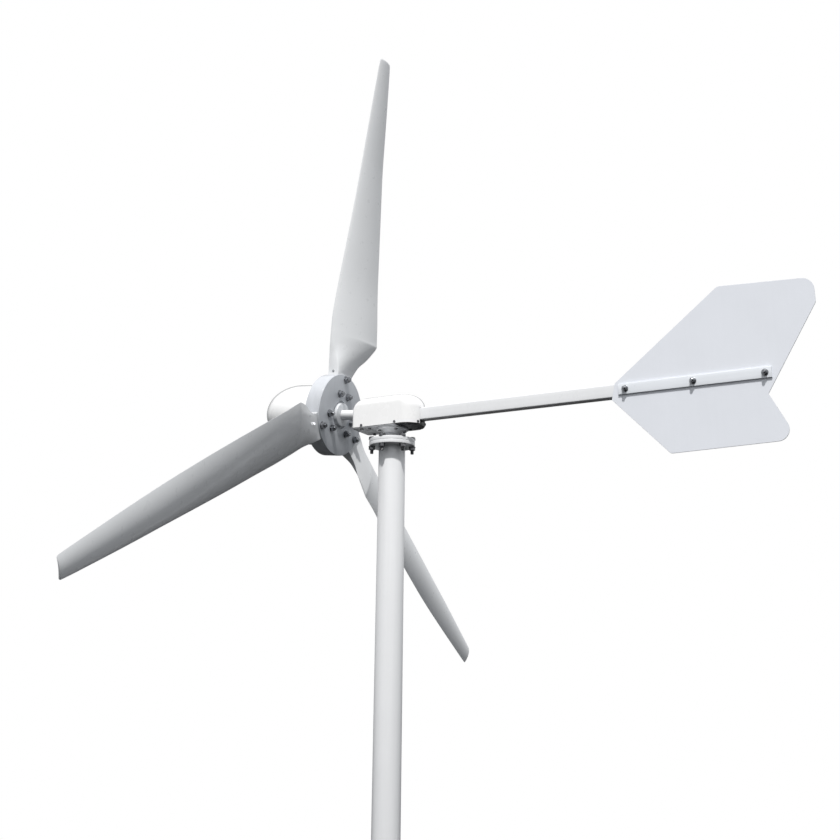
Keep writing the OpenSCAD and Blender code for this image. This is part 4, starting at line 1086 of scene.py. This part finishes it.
def nut(bm, place, bore, head_r, height, flange_r=0.0, flange_t=0.0):
    """Hexagon nut standing on the place's origin, with or without a round flange."""
    lead = 0.5 * MM
    profile = [(bore, 0.0)]
    if flange_r:
        profile += [
            (flange_r - 0.3 * MM, 0.0), (flange_r, 0.3 * MM),
            (flange_r, flange_t - 0.6 * MM), (flange_r - 0.9 * MM, flange_t),
        ]
    profile += hex_profile(head_r, flange_t, height)
    profile += [(bore + lead, height), (bore, height - lead)]
    add_ring(bm, rows_at(place, profile))


def washer(bm, place, bore, radius, thickness):
    """Flat washer with softened edges, lying on the place's origin."""
    edge = 0.35 * MM
    add_ring(bm, rows_at(place, [
        (bore, 0.0), (radius - edge, 0.0), (radius, edge), (radius, thickness - edge),
        (radius - edge, thickness), (bore + edge, thickness), (bore, thickness - edge),
    ]))


def pan_screw(bm, place, radius, head_r, head_h, length):
    """Round-headed screw with a hexagon socket: head above the place's origin, shank below it."""
    socket = hexagon(0.55 * head_r)
    profile = [(radius * 0.7, -length), (radius, -length + 0.3 * radius), (radius, 0.0), (head_r, 0.0)]
    for i in range(1, 6):
        a = math.pi / 2 * i / 6
        profile.append((head_r * (0.62 + 0.38 * math.cos(a)), head_h * math.sin(a)))
    profile += [(socket, head_h), (socket, 0.45 * head_h)]
    add_solid(bm, rows_at(place, profile))


def add_bolts(bm, node, matrix, size, shortest=0.0):
    """The bolts of a node that are longer than the shortest, with their heads at the low end of z."""
    for place, low, high, corner in places(node, matrix):
        if high - low > shortest:
            start = low + size.head_height
            bolt(bm, raised(place, start), size, corner, high - low - size.head_height)


def add_flanged_nuts(bm, node, matrix, size, hex_r):
    """The nuts of a node, each with its flange at the low end of z."""
    for place, low, high, flange_r in places(node, matrix):
        nut(bm, raised(place, low), size.radius, hex_r, high - low, flange_r, 2.5 * MM)


def file_fasteners(bm, node, look, body):
    """Files the fasteners of a node as one piece."""
    name = node.removesuffix("s") + "_set"
    finish_piece(object_of(name, bm), look, body, (node,), sharp=24)


def flange_fasteners():
    """M14 bolts, nuts and washers of the yaw joint."""
    bolts, nuts, washers = bmesh.new(), bmesh.new(), bmesh.new()
    for place, low, high, corner in places("flange_bolts"):
        head = high - M14.head_height
        bolt(bolts, flipped(place, head), M14, corner, head - low)
    for place, low, high, corner in places("flange_nuts"):
        nut(nuts, flipped(place, high), M14.radius, corner, high - low)
    washer_r = 14 * MM
    for place, low, high, _ in places("flange_washers"):
        washer(washers, raised(place, low), M14.hole, washer_r, high - low)
    file_fasteners(bolts, "flange_bolts", "black_fastener", "mast")
    file_fasteners(nuts, "flange_nuts", "black_fastener", "mast")
    file_fasteners(washers, "flange_washers", "black_fastener", "mast")


def blade_fasteners():
    """M16 bolts and flanged nuts of the blade roots, and the small screw in each root."""
    bolts, nuts = bmesh.new(), bmesh.new()
    add_bolts(bolts, "blade_bolts", ROTOR, M16, shortest=60 * MM)
    screw_place = Matrix.Translation((176 * MM, LE_ROOT * MM, -32 * MM))
    for angle in blade_angles():
        side = blade_frame(angle) @ screw_place @ Matrix.Rotation(-math.pi / 2, 4, "X")
        pan_screw(bolts, side, radius=2.5 * MM, head_r=5 * MM, head_h=3 * MM, length=10 * MM)
    add_flanged_nuts(nuts, "blade_nuts", ROTOR, M16, hex_r=13.9 * MM)
    file_fasteners(bolts, "blade_bolts", "zinc_fastener", "rotor")
    file_fasteners(nuts, "blade_nuts", "zinc_fastener", "rotor")


def boom_fasteners():
    """M12 cross bolts of the boom: heads on one side, flanged nuts on the side of the clamp bar."""
    bolts, nuts = bmesh.new(), bmesh.new()
    add_bolts(bolts, "boom_bolts", SIDEWAYS, M12)
    add_flanged_nuts(nuts, "boom_nuts", SIDEWAYS, M12, hex_r=10.4 * MM)
    file_fasteners(bolts, "boom_bolts", "zinc_fastener", "nacelle")
    file_fasteners(nuts, "boom_nuts", "zinc_fastener", "nacelle")


def tray_fasteners():
    """M8 bolts that hang under the tray."""
    bolts = bmesh.new()
    add_bolts(bolts, "tray_bolts", UPRIGHT, M8)
    file_fasteners(bolts, "tray_bolts", "black_fastener", "nacelle")


mast()
neck()
hub()
blades()
nacelle_cover()
tray()
boom()
vane()
clamp_bar()
flange_fasteners()
blade_fasteners()
boom_fasteners()
tray_fasteners()


# ---------------------------------------------------------------- stage, light and camera

SKY_HIGH = 0.75             # brightness of the dome overhead
SKY_LOW = 0.05              # and below the horizon
KEY_STRENGTH = 3.4
KEY_AZIMUTH = 23
KEY_ELEVATION = 56
# the camera fitted to the photograph: place in metres, turn to the left, tilt and roll in degrees
CAMERA_PLACE = Vector((2.6598, -4.7065, 0.4905))
CAMERA_TURN, CAMERA_TILT, CAMERA_ROLL = 28.90, 22.85, 0.69
CAMERA_LENS = 57.08
CAMERA_SHIFT = (0.0139, -0.2705)


def floor():
    """Round pale floor under the mast."""
    bm = bmesh.new()
    bmesh.ops.create_circle(bm, cap_ends=True, segments=128, radius=3.4)
    obj = object_of("floor", bm)
    s = Shader("floor")
    tone = s.span(s.noise(1.5, 4), 0.3, 0.7, 0.86, 0.90)
    obj.data.materials.append(s.done(Base_Color=s.grey(tone), Roughness=0.8))
    obj.visible_diffuse = False
    obj.visible_glossy = False


def light():
    """White backdrop for the camera, a bright dome above and a key light from the camera's side."""
    world = bpy.data.worlds.new("studio")
    bpy.context.scene.world = world
    world.use_nodes = True
    world.node_tree.nodes.clear()
    sky = Nodes(world.node_tree)
    height = sky.add("SeparateXYZ", out=2, i0=sky.add("TexCoord"))
    smooth = (("interpolation_type", "SMOOTHSTEP"),)
    strength = sky.add("MapRange", settings=smooth, i0=height, i1=-0.15, i2=0.25, i3=SKY_LOW, i4=SKY_HIGH)
    lit = sky.add("Background", Color=(0.96, 0.98, 1.0), Strength=strength)
    seen = sky.add("Background", Color=(1, 1, 1))
    mixed = sky.add("MixShader", i0=sky.add("LightPath"), i1=lit, i2=seen)
    sky.put(sky.tree.nodes.new("ShaderNodeOutputWorld").inputs[0], mixed)

    key = bpy.data.lights.new("key", "SUN")
    key.energy = KEY_STRENGTH
    key.angle = math.radians(2.5)
    key.color = (1.0, 0.985, 0.96)
    lamp = bpy.data.objects.new("key", key)
    az, el = math.radians(KEY_AZIMUTH), math.radians(KEY_ELEVATION)
    towards = Vector((math.sin(az) * math.cos(el), -math.cos(az) * math.cos(el), math.sin(el)))
    lamp.rotation_euler = towards.to_track_quat("Z", "Y").to_euler()
    bpy.context.scene.collection.objects.link(lamp)


def camera():
    """Camera low in front of the mast and to the tail's side, looking up at the turbine."""
    data = bpy.data.cameras.new("camera")
    data.sensor_width = 36
    data.lens = CAMERA_LENS
    data.shift_x, data.shift_y = CAMERA_SHIFT
    yaw, pitch, roll = (math.radians(a) for a in (CAMERA_TURN, CAMERA_TILT, CAMERA_ROLL))
    ahead = Vector((-math.sin(yaw) * math.cos(pitch), math.cos(yaw) * math.cos(pitch), math.sin(pitch)))
    right = Vector((math.cos(yaw), math.sin(yaw), 0))
    up = right.cross(ahead)
    level_right = math.cos(roll) * right + math.sin(roll) * up
    level_up = -math.sin(roll) * right + math.cos(roll) * up
    obj = bpy.data.objects.new("camera", data)
    obj.matrix_world = axes(level_right, level_up, -ahead, CAMERA_PLACE)
    bpy.context.scene.collection.objects.link(obj)
    bpy.context.scene.camera = obj


floor()
light()
camera()
bpy.context.scene.view_settings.view_transform = "Standard"
